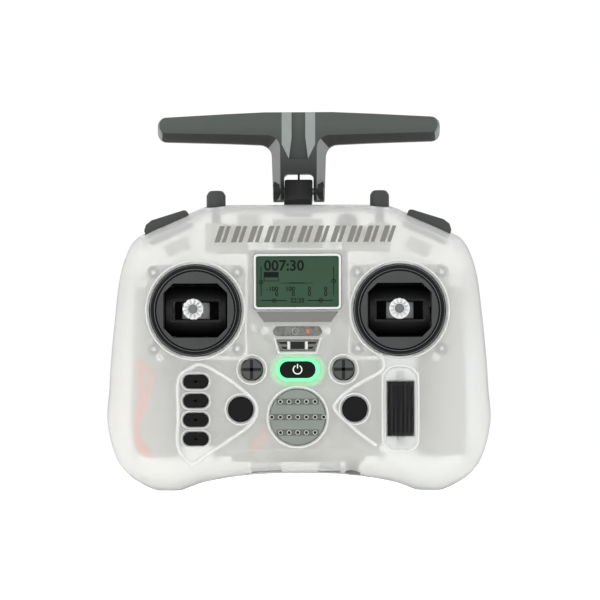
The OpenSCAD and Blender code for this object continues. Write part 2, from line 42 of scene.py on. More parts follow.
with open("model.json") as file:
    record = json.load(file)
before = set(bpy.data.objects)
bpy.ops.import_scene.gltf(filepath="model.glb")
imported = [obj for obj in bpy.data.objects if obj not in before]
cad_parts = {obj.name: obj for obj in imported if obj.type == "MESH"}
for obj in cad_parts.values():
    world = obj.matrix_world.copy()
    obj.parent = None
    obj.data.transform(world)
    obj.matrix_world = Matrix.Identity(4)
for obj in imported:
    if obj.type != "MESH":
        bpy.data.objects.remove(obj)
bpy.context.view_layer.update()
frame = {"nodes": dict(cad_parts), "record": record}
MM = 0.001
SIDES = {"left": -1, "right": 1}


# ---------------------------------------------------------------- places
def spot(node):
    """Middle of a CAD node's box, in millimetres."""
    low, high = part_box(node)
    return [(a + b) / 2 / MM for a, b in zip(low, high)]


def span(node):
    """Size of a CAD node's box, in millimetres."""
    low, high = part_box(node)
    return [(b - a) / MM for a, b in zip(low, high)]


def edge(node, axis, high):
    """One side of a CAD node's box, in millimetres."""
    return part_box(node)[1 if high else 0][axis] / MM


FACE_Y = edge("lcd_frame", 1, False) + 0.7
PART_Y = edge("front_shell", 1, True)
WALL = 2.0
INNER_Y = FACE_Y + WALL
TOP_Z = edge("front_shell", 2, True)
HALF_W = span("front_shell")[0] / 2
RING_R = span("left_gimbal_ring")[0] / 2
STICKS = {side: (spot(side + "_gimbal_ring")[0], spot(side + "_gimbal_ring")[2])
          for side in SIDES}
LCD = (spot("lcd_glass")[0], spot("lcd_glass")[2])
WINDOW_W = span("lcd_glass")[0]
WINDOW_H = span("lcd_glass")[2]
HINGE = (spot("hinge_pin")[1], spot("hinge_pin")[2])
GRIP_Y = edge("rear_shell", 1, True)
# Right half of the shell's outline from bottom middle to top middle, x and z.
EDGE = ((0, 7), (20, 6.3), (38, 3.6), (53, -0.8), (66, 3.7), (74, 12), (78.3, 27),
        (77.6, 42), (76.6, 57), (75, 73), (73.4, 86), (71, 95), (67.6, 101.6),
        (62.4, 105.2), (53.4, 109.2), (44.2, 113.2), (37, 115.9), (26, 116.5), (0, 116.5))
EDGE_STEPS = 8
CENTRE = Vector((0, 62))
INSET = {"top": 2.6, "side": 9.5, "low": 10.5}


def curve_point(a, b, c, d, t):
    """Point of a smooth curve between b and c."""
    return 0.5 * (2 * b + (c - a) * t + (2 * a - 5 * b + 4 * c - d) * t * t
                  + (3 * b - a - 3 * c + d) * t ** 3)


def closed_curve(points, steps):
    """Smooth closed curve through the points."""
    points = [Vector(p) for p in points]
    count = len(points)
    return [curve_point(points[i - 1], points[i], points[(i + 1) % count],
                        points[(i + 2) % count], k / steps)
            for i in range(count) for k in range(steps)]


def outline():
    """The shell's whole outline, counter-clockwise seen from the front."""
    whole = list(EDGE) + [(-x, z) for x, z in reversed(EDGE[1:-1])]
    line = closed_curve(whole, EDGE_STEPS)
    widen = (HALF_W - 0.02) / max(p.x for p in line)
    return [Vector((p.x * widen, p.y)) for p in line]


OUTLINE = outline()


def outward(i):
    """Outward direction of the outline at a point."""
    t = OUTLINE[(i + 1) % len(OUTLINE)] - OUTLINE[i - 1]
    return Vector((t.y, -t.x)).normalized()


def front_ring(turn, thick):
    """Ring of the front shell at a turn of its rounded edge, 0 at the parting plane."""
    ring = []
    for i, p in enumerate(OUTLINE):
        n = outward(i)
        inset = INSET["side"] * n.x ** 2 + INSET["top" if n.y > 0 else "low"] * n.y ** 2
        q = p - n * (inset * (1 - math.cos(turn)) + thick)
        ring.append((q.x, PART_Y - (PART_Y - FACE_Y - thick) * math.sin(turn),
                     max(q.y, 0.02 + thick)))
    return ring


def back_ring(t, thick):
    """Ring of the rear shell at a share of the way out from the middle."""
    ring = []
    full = (1 - t ** 8) ** 0.4
    for i, p in enumerate(OUTLINE):
        q = p - outward(i) * thick
        q = CENTRE + (q - CENTRE) * t
        side = min(1, max(0, (abs(q.x) - 30) / 16))
        depth = 20 + 13.16 * side * side * (3 - 2 * side)
        ring.append((q.x, PART_Y + (depth - thick - PART_Y) * full,
                     max(q.y, 0.02 + thick)))
    return ring


# ---------------------------------------------------------------- modelling
def edit(obj):
    """Edit mode on one object with nothing selected; returns its editable mesh."""
    bpy.ops.object.select_all(action="DESELECT")
    obj.select_set(True)
    bpy.context.view_layer.objects.active = obj
    bpy.ops.object.mode_set(mode="EDIT")
    bpy.ops.mesh.select_all(action="DESELECT")
    return bmesh.from_edit_mesh(obj.data)


def leave(obj):
    """Back to object mode."""
    bpy.ops.object.mode_set(mode="OBJECT")
    return obj


def only(obj):
    """Selects one object alone."""
    bpy.ops.object.select_all(action="DESELECT")
    obj.select_set(True)
    bpy.context.view_layer.objects.active = obj
    return obj


def settle(obj):
    """Puts an object's place into its mesh."""
    only(obj)
    bpy.ops.object.transform_apply(location=True, rotation=True, scale=True)
    return obj


def key(co):
    """A place rounded so that two copies of a vertex are found to be the same."""
    return tuple(round(c, 7) for c in co)


def loft(name, rings, ends=(True, True)):
    """Solid through rings of equal count: a circle is extruded and each ring is put in place."""
    bpy.ops.object.select_all(action="DESELECT")
    bpy.ops.mesh.primitive_circle_add(vertices=len(rings[0]), radius=1, fill_type="NOTHING")
    obj = bpy.context.object
    obj.name = obj.data.name = name
    for v, p in zip(obj.data.vertices, rings[0]):
        v.co = Vector(p) * MM
    mesh = edit(obj)
    bpy.ops.mesh.select_all(action="SELECT")
    if ends[0]:
        bpy.ops.mesh.edge_face_add()
        bpy.ops.mesh.select_all(action="DESELECT")
        mesh.edges.ensure_lookup_table()
        for e in mesh.edges:
            e.select_set(True)
    for below, above in zip(rings, rings[1:]):
        where = {key(Vector(p) * MM): Vector(q) * MM for p, q in zip(below, above)}
        bpy.ops.mesh.extrude_edges_move(TRANSFORM_OT_translate={"value": (0, 0, 0)})
        mesh = bmesh.from_edit_mesh(obj.data)
        for v in mesh.verts:
            if v.select:
                v.co = where[key(v.co)]
        bmesh.update_edit_mesh(obj.data)
    if ends[1]:
        bpy.ops.mesh.edge_face_add()
    bpy.ops.mesh.select_all(action="SELECT")
    bpy.ops.mesh.normals_make_consistent(inside=False)
    return leave(obj)


def circle(r, count=64, middle=(0, 0)):
    """Points of a circle in the face's plane, x and z."""
    return [(middle[0] + r * math.cos(2 * math.pi * k / count),
             middle[1] + r * math.sin(2 * math.pi * k / count)) for k in range(count)]


def rounded(w, h, r, middle=(0, 0), steps=8):
    """Points of a rectangle with round corners."""
    points = []
    for k, (sx, sz) in enumerate(((1, 1), (-1, 1), (-1, -1), (1, -1))):
        for j in range(steps + 1):
            a = math.radians(90 * (k + j / steps))
            points.append((middle[0] + sx * (w / 2 - r) + r * math.cos(a),
                           middle[1] + sz * (h / 2 - r) + r * math.sin(a)))
    return points


def pill(w, h, middle=(0, 0)):
    """Points of a slot with round ends."""
    return rounded(w, h, h / 2 - 0.01, middle)


def shrunk(points, by):
    """The points of a convex outline moved inward."""
    out = []
    for i, p in enumerate(points):
        a = Vector(points[i - 1])
        c = Vector(points[(i + 1) % len(points)])
        t = (c - a).normalized()
        out.append((p[0] - t.y * by, p[1] + t.x * by))
    return out


def at_depth(points, y):
    """The points of an outline at a depth."""
    return [(x, y, z) for x, z in points]


def slab(name, points, y0, y1, front=0.3, back=0.0):
    """Prism along the depth with a rounded front edge; y0 is the front."""
    rings = []
    steps = 4
    for k in range(steps + 1 if front else 0):
        a = math.radians(90 * k / steps)
        rings.append(at_depth(shrunk(points, front * (1 - math.sin(a))),
                              y0 + front * (1 - math.cos(a))))
    if not front:
        rings.append(at_depth(points, y0))
    rings.append(at_depth(points, y1 - back))
    if back:
        rings.append(at_depth(shrunk(points, back), y1))
    return loft(name, rings)


def lathe(name, profile, middle=(0, 0), count=96, ends=(True, True)):
    """Turned solid about an axis along the depth; the profile is (radius, y) pairs."""
    return loft(name, [at_depth(circle(r, count, middle), y) for r, y in profile], ends)


def turned_up(name, profile, middle, count=64):
    """Turned solid about an upright axis; the profile is (radius, z) pairs."""
    return loft(name, [[(x, y, z) for x, y in circle(r, count, middle)] for r, z in profile])


def turned_across(name, profile, middle, count=64):
    """Turned solid about an axis along X; the profile is (radius, x) pairs."""
    return loft(name, [[(x, y, z) for y, z in circle(r, count, middle)] for r, x in profile])


def block(name, low, high, bevel=0.2):
    """Box between two corners with rounded edges."""
    bpy.ops.object.select_all(action="DESELECT")
    middle = [(a + b) / 2 * MM for a, b in zip(low, high)]
    bpy.ops.mesh.primitive_cube_add(size=1, location=middle)
    obj = bpy.context.object
    obj.name = obj.data.name = name
    obj.scale = [(b - a) * MM for a, b in zip(low, high)]
    settle(obj)
    if bevel:
        edit(obj)
        bpy.ops.mesh.select_all(action="SELECT")
        bpy.ops.mesh.bevel(offset=bevel * MM, segments=3, affect="EDGES", clamp_overlap=True)
        leave(obj)
    return obj


def joined(name, *parts):
    """Several shapes as one piece."""
    bpy.ops.object.select_all(action="DESELECT")
    for p in parts:
        p.select_set(True)
    bpy.context.view_layer.objects.active = parts[0]
    if len(parts) > 1:
        bpy.ops.object.join()
    parts[0].name = parts[0].data.name = name
    return parts[0]


def applied(obj, kind, **settings):
    """Adds a modifier, sets it and applies it."""
    only(obj)
    modifier = obj.modifiers.new(kind.title(), kind)
    for name, value in settings.items():
        setattr(modifier, name, value)
    bpy.ops.object.modifier_apply(modifier=modifier.name)
    return obj


def cut(obj, *tools, operation="DIFFERENCE"):
    """Boolean with tools that are then thrown away."""
    tool = joined("tool", *tools)
    applied(obj, "BOOLEAN", object=tool, operation=operation, solver="EXACT",
            use_self=True, use_hole_tolerant=True)
    bpy.data.objects.remove(tool)
    return obj


def cut_each(obj, *tools, operation="DIFFERENCE"):
    """Boolean with one tool after another."""
    for tool in tools:
        applied(obj, "BOOLEAN", object=tool, operation=operation, solver="EXACT")
        bpy.data.objects.remove(tool)
    return obj


def softened(obj, width=0.2, angle=35, segments=2):
    """Rounds the sharp edges a little."""
    return applied(obj, "BEVEL", width=width * MM, segments=segments, limit_method="ANGLE",
                   angle_limit=math.radians(angle), use_clamp_overlap=True,
                   miter_outer="MITER_ARC", harden_normals=False)


def smooth(obj, angle=32):
    """Smooth shading with sharp edges kept."""
    only(obj)
    bpy.ops.object.shade_smooth_by_angle(angle=math.radians(angle))
    return obj


def from_cad(name, node, bevel=0.18):
    """A merged copy of a CAD node with softened edges."""
    bpy.ops.object.select_all(action="DESELECT")
    source = frame["nodes"][node]
    obj = source.copy()
    obj.data = source.data.copy()
    obj.name = obj.data.name = name
    obj.parent = None
    bpy.context.scene.collection.objects.link(obj)
    edit(obj)
    bpy.ops.mesh.select_all(action="SELECT")
    bpy.ops.mesh.remove_doubles(threshold=0.000002)
    bpy.ops.mesh.dissolve_limited(angle_limit=math.radians(1))
    leave(obj)
    if bevel:
        softened(obj, bevel)
    return smooth(obj)


def tube(name, points, r, closed=False):
    """Round bead along points; each point is x, y, z."""
    data = bpy.data.curves.new(name, "CURVE")
    data.dimensions = "3D"
    data.bevel_depth = r * MM
    data.bevel_resolution = 3
    spline = data.splines.new("POLY")
    spline.points.add(len(points) - 1)
    for target, p in zip(spline.points, points):
        target.co = (*(c * MM for c in p), 1)
    spline.use_cyclic_u = closed
    obj = bpy.data.objects.new(name, data)
    bpy.context.scene.collection.objects.link(obj)
    data.use_fill_caps = True
    only(obj)
    bpy.ops.object.convert(target="MESH")
    obj = bpy.context.object
    obj.name = obj.data.name = name
    return smooth(obj, 60)


def finished(obj, body, look, slot, *replaced):
    """Gives a piece its material and its body and hides the CAD node that it stands for; the
    slot is not used.
    """
    obj.data.materials.clear()
    obj.data.materials.append(look)
    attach(obj, body)
    if replaced:
        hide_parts(*replaced)
    return obj


# ---------------------------------------------------------------- shader maths
class Value:
    """A shader socket that Python's operators work on."""

    def __init__(self, tree, socket):
        self.tree = tree
        self.socket = socket

    def maths(self, operation, first, second):
        """A Math node on two values."""
        node = self.tree.nodes.new("ShaderNodeMath")
        node.operation = operation
        for socket, value in zip(node.inputs, (first, second)):
            if isinstance(value, Value):
                self.tree.links.new(value.socket, socket)
            else:
                socket.default_value = value
        return Value(self.tree, node.outputs[0])

    def __add__(self, other):
        return self.maths("ADD", self, other)

    def __mul__(self, other):
        return self.maths("MULTIPLY", self, other)

    def __gt__(self, other):
        return self.maths("GREATER_THAN", self, other)


class Look:
    """Builds one material."""

    def __init__(self, name, **constants):
        self.material = bpy.data.materials.new(name)
        self.material.use_nodes = True
        self.tree = self.material.node_tree
        self.shader = self.tree.nodes["Principled BSDF"]
        for socket, value in constants.items():
            self.shader.inputs[socket.replace("_", " ")].default_value = value

    def node(self, kind, settings=None, output=0, **inputs):
        """Any node: its settings first, then its inputs; returns one output."""
        made = self.tree.nodes.new("ShaderNode" + kind)
        for name, value in (settings or {}).items():
            setattr(made, name, value)
        for name, value in inputs.items():
            socket = made.inputs[int(name[1:])] if name[1:].isdigit() else made.inputs[name]
            if isinstance(value, Value):
                self.tree.links.new(value.socket, socket)
            else:
                socket.default_value = value
        return Value(self.tree, made.outputs[output])

    def place(self):
        """Where a point is on the object."""
        return self.node("TexCoord", output=3)

    def noise(self, scale, detail=3, roughness=0.6):
        """Soft noise with a scale per metre."""
        return self.node("TexNoise", Vector=self.place(), Scale=scale, Detail=detail,
                         Roughness=roughness)

    def cells(self, scale):
        """Cell distance with a scale per metre."""
        return self.node("TexVoronoi", Vector=self.place(), Scale=scale)

    def blend(self, mask, low, high):
        """Mix of two colours by a mask."""
        return self.node("Mix", {"data_type": "RGBA"}, output=2, i0=mask, i6=low, i7=high)

    def feed(self, socket, value):
        """Links a value to a socket of the shader."""
        self.tree.links.new(value.socket, self.shader.inputs[socket])
        return self

    def bump(self, height, strength, distance):
        """Raises the surface by a height."""
        normal = self.node("Bump", Strength=strength, Distance=distance, Height=height)
        return self.feed("Normal", normal)


def glow(name, colour, strength):
    """Lit surface."""
    look = Look(name, Base_Color=colour, Roughness=0.5)
    even = look.noise(300)
    look.shader.inputs["Emission Strength"].default_value = strength
    shade = tuple(c * 0.9 for c in colour[:3]) + (1,)
    return look.feed("Emission Color", look.blend(even, shade, colour)).material


def moulded(name, colour, roughness=0.5, grain=0.12, scale=2600, spread=0.12, **constants):
    """Moulded plastic with a fine spark-eroded grain and slightly rubbed patches."""
    look = Look(name, **{"Specular_IOR_Level": 0.22, **constants})
    cloud = look.noise(90)
    speck = look.noise(scale, 2)
    low = tuple(c * (1 - spread) for c in colour) + (1,)
    high = tuple(min(1, c * (1 + spread)) for c in colour) + (1,)
    look.feed("Base Color", look.blend(cloud, low, high))
    look.feed("Roughness", cloud * 0.16 + (roughness - 0.08))
    return look.bump(speck, grain, 0.00006).material


def antenna_painted_shade_look(name, low, high):
    """Moulded plastic with painted shade: the colour darkens down the antenna's stem."""
    look = Look(name, Specular_IOR_Level=0.22, Roughness=0.45)
    up = look.node("SeparateXYZ", output=2, Vector=look.place())
    # Painted shade: a colour mask by height, dark on the stem and light in the arms.
    height = look.node("MapRange", Value=up, i1=0.125, i2=0.15)
    cloud = look.noise(90)
    look.feed("Base Color", look.blend(height * 0.9 + cloud * 0.1, low + (1,), high + (1,)))
    look.feed("Roughness", cloud * 0.16 + 0.4)
    return look.bump(look.noise(2200, 2), 0.25, 0.00006).material


def frosted(name, colour, through, roughness, ior=1.2):
    """Translucent plastic with a matt surface."""
    look = Look(name, Transmission_Weight=through, IOR=ior, Specular_IOR_Level=0.5)
    cloud = look.noise(60)
    grain = look.noise(3500, 2)
    low = tuple(c * 0.96 for c in colour) + (1,)
    look.feed("Base Color", look.blend(cloud, low, tuple(colour) + (1,)))
    look.feed("Roughness", cloud * 0.08 + (roughness - 0.04))
    return look.bump(grain, 0.06, 0.00004).material


def metal(name, colour, roughness, lines=900):
    """Machined or pressed metal with fine tool marks and dull patches."""
    look = Look(name, Metallic=1.0)
    cloud = look.noise(220)
    marks = look.noise(lines, 6, 0.8)
    low = tuple(c * 0.85 for c in colour) + (1,)
    look.feed("Base Color", look.blend(cloud, low, tuple(colour) + (1,)))
    look.feed("Roughness", marks * 0.2 + (roughness - 0.1))
    return look.bump(marks, 0.1, 0.00003).material


def board_look(name, colour):
    """Circuit board with copper tracks under its lacquer."""
    look = Look(name, Roughness=0.35)
    cells = look.cells(420)
    tracks = look.node("TexBrick", Vector=look.place(), Scale=320.0)
    copper = tuple(min(1, c * 1.7) for c in colour) + (1,)
    look.feed("Base Color", look.blend(cells > 0.42, tuple(colour) + (1,), copper))
    return look.bump(tracks, 0.2, 0.00005).material


LOOKS = {}


def make_looks(shell_colour, shell_through, shell_roughness):
    """All the materials of the object, by name."""
    LOOKS.update(
        shell=frosted("frosted_shell", shell_colour, shell_through, shell_roughness),
        cradle=frosted("roller_cradle", (0.93, 0.94, 0.93), 0.6, 0.16, 1.35),
        rim=frosted("bright_rim", (0.86, 0.88, 0.86), 0.3, 0.3, 1.4),
        line=frosted("raised_line", (0.96, 0.97, 0.96), 0.45, 0.3, 1.3),
        # Antenna plastic with painted shade, darker down the stem.
        antenna=antenna_painted_shade_look("antenna_plastic_painted_shade", (0.012, 0.013, 0.0125), (0.068, 0.078, 0.072)),
        # Lit and shaded copies of the antenna's plastic: facet and slope carry painted light,
        # under carries painted shade.
        facet=moulded("antenna_facet", (0.24, 0.26, 0.25), 0.42, 0.2, 2200),
        slope=moulded("antenna_slope_painted_light", (0.2, 0.21, 0.205), 0.42, 0.2, 2200),
        under=moulded("antenna_under_painted_shade", (0.03, 0.032, 0.031), 0.5, 0.25, 2200),
        wedge=moulded("shoulder_plastic", (0.045, 0.047, 0.047), 0.5, 0.25, 2200),
        gloss=moulded("gloss_black", (0.005, 0.005, 0.006), 0.16, 0.05, 1500,
                      Specular_IOR_Level=0.2),
        matt=moulded("matt_black", (0.008, 0.008, 0.009), 0.5, 0.2, 2400),
        dish=moulded("dish_grey", (0.05, 0.053, 0.053), 0.42, 0.12, 2400),
        rubber=moulded("key_rubber", (0.006, 0.0065, 0.006), 0.6, 0.35, 3200,
                       Specular_IOR_Level=0.1),
        cap=moulded("trim_grey", (0.06, 0.062, 0.06), 0.45, 0.2, 2800),
        stick=moulded("stick_grey", (0.13, 0.14, 0.14), 0.42, 0.15, 2600),
        grille=moulded("grille_grey", (0.2, 0.22, 0.2), 0.5, 0.3, 2600),
        # Darker grey for the floors of the speaker's sunk bands: painted shade.
        band=moulded("band_painted_shade", (0.11, 0.12, 0.11), 0.5, 0.3, 2600),
        red=moulded("wire_red", (0.85, 0.24, 0.15), 0.4, 0.05, 2600),
        panel=moulded("panel_grey", (0.16, 0.16, 0.15), 0.5, 0.2, 2600),
        inner=moulded("inner_frame", (0.5, 0.5, 0.48), 0.5, 0.2, 2600),
        orange=moulded("orange_part", (0.75, 0.2, 0.06), 0.4, 0.1, 2600),
        ink=moulded("band_ink", (0.17, 0.165, 0.15), 0.6, 0.1, 2600),
        crown=metal("crown_metal", (0.74, 0.75, 0.75), 0.4),
        steel=metal("pressed_steel", (0.62, 0.63, 0.64), 0.32),
        gold=metal("plated_pins", (0.85, 0.62, 0.25), 0.28),
        lcd=moulded("screen_green", (0.03, 0.064, 0.037), 0.25, 0.02, 900, 0.08,
                    Specular_IOR_Level=0.12),
        segments=moulded("screen_segments", (0.003, 0.006, 0.004), 0.4, 0.05, 2600, 0.1,
                         Specular_IOR_Level=0.1),
        shield=moulded("board_shield", (0.4, 0.39, 0.36), 0.4, 0.1, 900),
        window=frosted("window_clear", (0.85, 0.87, 0.86), 0.95, 0.06, 1.3),
        white=moulded("white_print", (0.8, 0.82, 0.8), 0.5, 0.05),
        ring=glow("ring_glow", (0.13, 0.95, 0.28, 1), 0.95),
        halo=glow("light_guide_glow", (0.1, 0.9, 0.25, 1), 0.12),
        board=board_look("board_lacquer", (0.24, 0.24, 0.2)),
        cell_blue=moulded("cell_sleeve", (0.55, 0.62, 0.8), 0.3, 0.05),
        cell_red=moulded("cell_sleeve_red", (0.85, 0.5, 0.45), 0.3, 0.05),
    )


# ---------------------------------------------------------------- shapes of the pieces
def body_of(node):
    """Name of the body that a CAD node is in."""
    bodies = frame["record"]["behaviour"]["bodies"]
    return next(body for body, nodes in bodies.items() if node in nodes)


def slot_of(node):
    """Name of the material slot that a CAD node has in the record."""
    subparts = frame["record"]["subparts"]
    return next(part["material_slot"] for part in subparts if part["node"] == node)


def copied(node, look, bevel=0.18):
    """A CAD node stands in the picture as a merged copy with softened edges."""
    obj = from_cad(node + "_shape", node, bevel)
    return finished(obj, body_of(node), LOOKS[look], slot_of(node), node)


def dressed(node, look):
    """A CAD node keeps its mesh and gets a procedural material."""
    obj = frame["nodes"][node]
    for place in obj.material_slots:
        place.material = LOOKS[look]
    return obj


def prism(name, points, x0, x1):
    """Prism across the object; the points are (y, z)."""
    return loft(name, [[(x, y, z) for y, z in points] for x in (x0, x1)])


def mirrored(points):
    """Right half of an outline, bottom to top, completed with its left half."""
    return points + [(-x, z) for x, z in reversed(points)]


def arc(middle, r, start, end, steps=6):
    """Points of an arc between two angles in degrees."""
    out = []
    for k in range(steps + 1):
        a = math.radians(start + (end - start) * k / steps)
        out.append((middle[0] + r * math.cos(a), middle[1] + r * math.sin(a)))
    return out


# ---------------------------------------------------------------- shells
RECESS_Y = 8.0
RECESS_Z = 89.5
RAMP_DROP = 6.0
DOOR_X = 50.5
DOOR_Y = 9.0
DOOR_Z = (14.0, 82.0)
SLIT = 0.3
BAY = (54.0, 17.2, 23.8)
FAR = 120.0
TOGGLES = {side: (spot(side + "_toggle")[0], spot(side + "_toggle")[1]) for side in SIDES}
SHOULDER = (53.5, -2.0, 108.9)
SHOULDER_TILT = 24.4
POSTS = ((14.5, 101.5), (33.5, 13.5))
POST_R = 2.1
BLOCK_SLOT = ((-5.85, -1.65), (5.85, 6.35))
LEVER_SLOT = (14.6, 8.6)
SHOULDER_HALF = (9.95, 6.6, 8)
PORT_Y = -3.1
JACK = (22, -2.6)
JACK_R = 3.3
REAR_HOLES = ((20, 3.75), (-20, 1.7))
REAR_HOLE_Z = 109
CUP_WALL = 1.4
TURNS = [math.radians(90 * k / 10) for k in range(11)]
BACK_T = (1, 0.995, 0.98, 0.95, 0.91, 0.86, 0.8, 0.73, 0.66, 0.59, 0.52, 0.45, 0.37, 0.2)


def hollow(name, ring, steps, lift):
    """Skin between a loft and the same loft one wall further in."""
    outer = loft(name, [ring(s, 0) for s in steps])
    inner = loft("inner", [[(x, y + lift, z) for x, y, z in ring(s, WALL)] for s in steps])
    return outer, inner


def recess_prism(name, back, lower):
    """Space that the folded antenna lies in, with the ramp under it."""
    y = RECESS_Y - back
    z = RECESS_Z - lower
    return prism(name, [(y, z), (GRIP_Y, z - RAMP_DROP), (FAR, z - RAMP_DROP), (FAR, FAR),
                        (y, FAR)], -FAR, FAR)


def top_tools():
    """Cutters for the hinge block, the levers and the shoulder buttons."""
    low, high = BLOCK_SLOT
    tools = [block("cut", (*low, TOP_Z - 6), (*high, TOP_Z + 5), 0)]
    for side, sign in SIDES.items():
        x, y = TOGGLES[side]
        slot = [(x + a, y + b) for b, a in pill(*LEVER_SLOT)]
        tools.append(loft("cut", [[(a, b, z) for a, b in slot]
                                  for z in (TOP_Z - 6, TOP_Z + 6)]))
        tool = block("cut", [-half for half in SHOULDER_HALF], SHOULDER_HALF, 0)
        tool.rotation_euler = (0, math.radians(SHOULDER_TILT) * sign, 0)
        tool.location = (SHOULDER[0] * sign * MM, SHOULDER[1] * MM, SHOULDER[2] * MM)
        tools.append(settle(tool))
    return tools


def bottom_tools():
    """Cutters for the charging port, the card slot and the audio jack."""
    port = [(x + 12.5, y + PORT_Y) for x, y in rounded(9.4, 3.6, 1.6)]
    card = [(x - 13, y + PORT_Y) for x, y in rounded(12.4, 1.8, 0.3)]
    jack = circle(JACK_R, 32, JACK)
    return [loft("cut", [[(x, y, z) for x, y in shape] for z in (-2, 20)])
            for shape in (port, card, jack)]


def face_slab(points):
    """Cutter through the face wall alone."""
    return slab("cut", points, FACE_Y - 20, INNER_Y + 1, front=0)


def lanyard_shape(grow):
    """Points of the strap opening: a wide top and slanted sides."""
    x, z = LANYARD
    top = LANYARD_TOP + grow
    low = LANYARD_LOW + grow
    half = LANYARD_HALF + grow
    return [(x - top, z + half), (x - low, z - half), (x + low, z - half),
            (x + top, z + half)]


LANYARD = (0.0, 58.75)
LANYARD_TOP = 8.6
LANYARD_LOW = 6.8
LANYARD_HALF = 2.25
POWER = (spot("power_button")[0], spot("power_button")[2])
WINDOW = (spot("status_window")[0], spot("status_window")[2])
GRILLE = (spot("speaker_grille")[0], spot("speaker_grille")[2])
ROLLER = (spot("roller")[0], spot("roller_carrier")[2])
PAGES = [(spot("page_button_%d" % k)[0], spot("page_button_%d" % k)[2]) for k in range(1, 5)]
ROUNDS = [(spot(side + "_round_button")[0], spot(side + "_round_button")[2])
          for side in SIDES]
TRIMS = [(spot(side + "_trim")[0], spot(side + "_trim")[2]) for side in SIDES]
WINDOW_OPENING = (19.9, 4)
POWER_OPENING = (18.2, 9.6)
ROLLER_OPENING = (13, 33.6, 5)
PAGE_OPENING = (10.4, 5.6)
GRILLE_OPENING_R = 11.5
ROUND_OPENING_R = 5.2
TRIM_OPENING_R = 4.65
LINE_RISE = 0.22


def face_openings():
    """Cutters for everything that shows through the face."""
    tools = [face_slab(circle(RING_R - 1.3, 96, STICKS[side])) for side in SIDES]
    tools += [face_slab(rounded(WINDOW_W + 2.2, WINDOW_H + 2.2, 1.5, LCD)),
              face_slab(pill(*WINDOW_OPENING, WINDOW)), face_slab(lanyard_shape(0.15)),
              face_slab(pill(*POWER_OPENING, POWER)),
              face_slab(circle(GRILLE_OPENING_R, 96, GRILLE)),
              face_slab(rounded(*ROLLER_OPENING, ROLLER))]
    tools += [face_slab(pill(*PAGE_OPENING, p)) for p in PAGES]
    tools += [face_slab(circle(ROUND_OPENING_R, 64, p)) for p in ROUNDS]
    tools += [face_slab(circle(TRIM_OPENING_R, 64, p)) for p in TRIMS]
    return tools


def ridge(points, closed=True, r=0.42):
    """Raised line on the face; the points are (x, z)."""
    line = closed_curve(points, 6) if closed else points
    return tube("ridge", [(x, FACE_Y + r - LINE_RISE, z) for x, z in line], r, closed)


def face_ridges(r):
    """Raised lines round the controls."""
    left = [(-48.4, 45), (-43.6, 49.4), (-39, 51), (-31, 47), (-23.4, 41.6), (-17, 35.2),
            (-18, 28), (-27, 21), (-37.2, 14.4), (-43, 11), (-48.4, 17.6), (-48.4, 31)]
    right = [(33.9, 53), (34.6, 48.8), (23.8, 42.5), (16.6, 36.8), (15.5, 32.1),
             (26.2, 22.2), (33, 17.4), (41, 12.8)]
    lines = [ridge(left, True, r)]
    whole = closed_curve(right, 6)[:-12]
    lines.append(tube("ridge", [(x, FACE_Y + r - LINE_RISE, z) for x, z in whole], r))
    fine = r * 0.48
    for side in SIDES:
        lines.append(ridge(circle(RING_R + 1.2, 40, STICKS[side]), True, fine))
    for p in TRIMS:
        lines.append(ridge(circle(5.9, 24, p), True, fine))
    for p in ROUNDS:
        lines.append(ridge(circle(6.2, 24, p), True, fine))
    for p in PAGES:
        lines.append(ridge(rounded(11.6, 6.8, 3.2, p, 3), True, fine * 0.8))
    lines.append(ridge(circle(12.3, 40, GRILLE), True, fine))
    lines.append(ridge(rounded(14.2, 34.8, 5.6, ROLLER, 3), True, fine * 1.4))
    lines.append(ridge(lanyard_shape(0.9), False, fine))
    return lines


def build_front_shell(ridge_r):
    """Front half of the case with its openings and raised lines."""
    outer, inner = hollow("front_case", front_ring, TURNS, 0.01)
    cut_each(outer, inner)
    cut(outer, *face_openings())
    cut_each(outer, *top_tools())
    cut_each(outer, *bottom_tools())
    softened(outer, 0.3, 50)
    smooth(outer, 40)
    lines = joined("face_lines", *face_ridges(ridge_r))
    finished(lines, "housing", LOOKS["line"], "clear_shell")
    return finished(outer, "housing", LOOKS["shell"], "clear_shell", "front_shell")


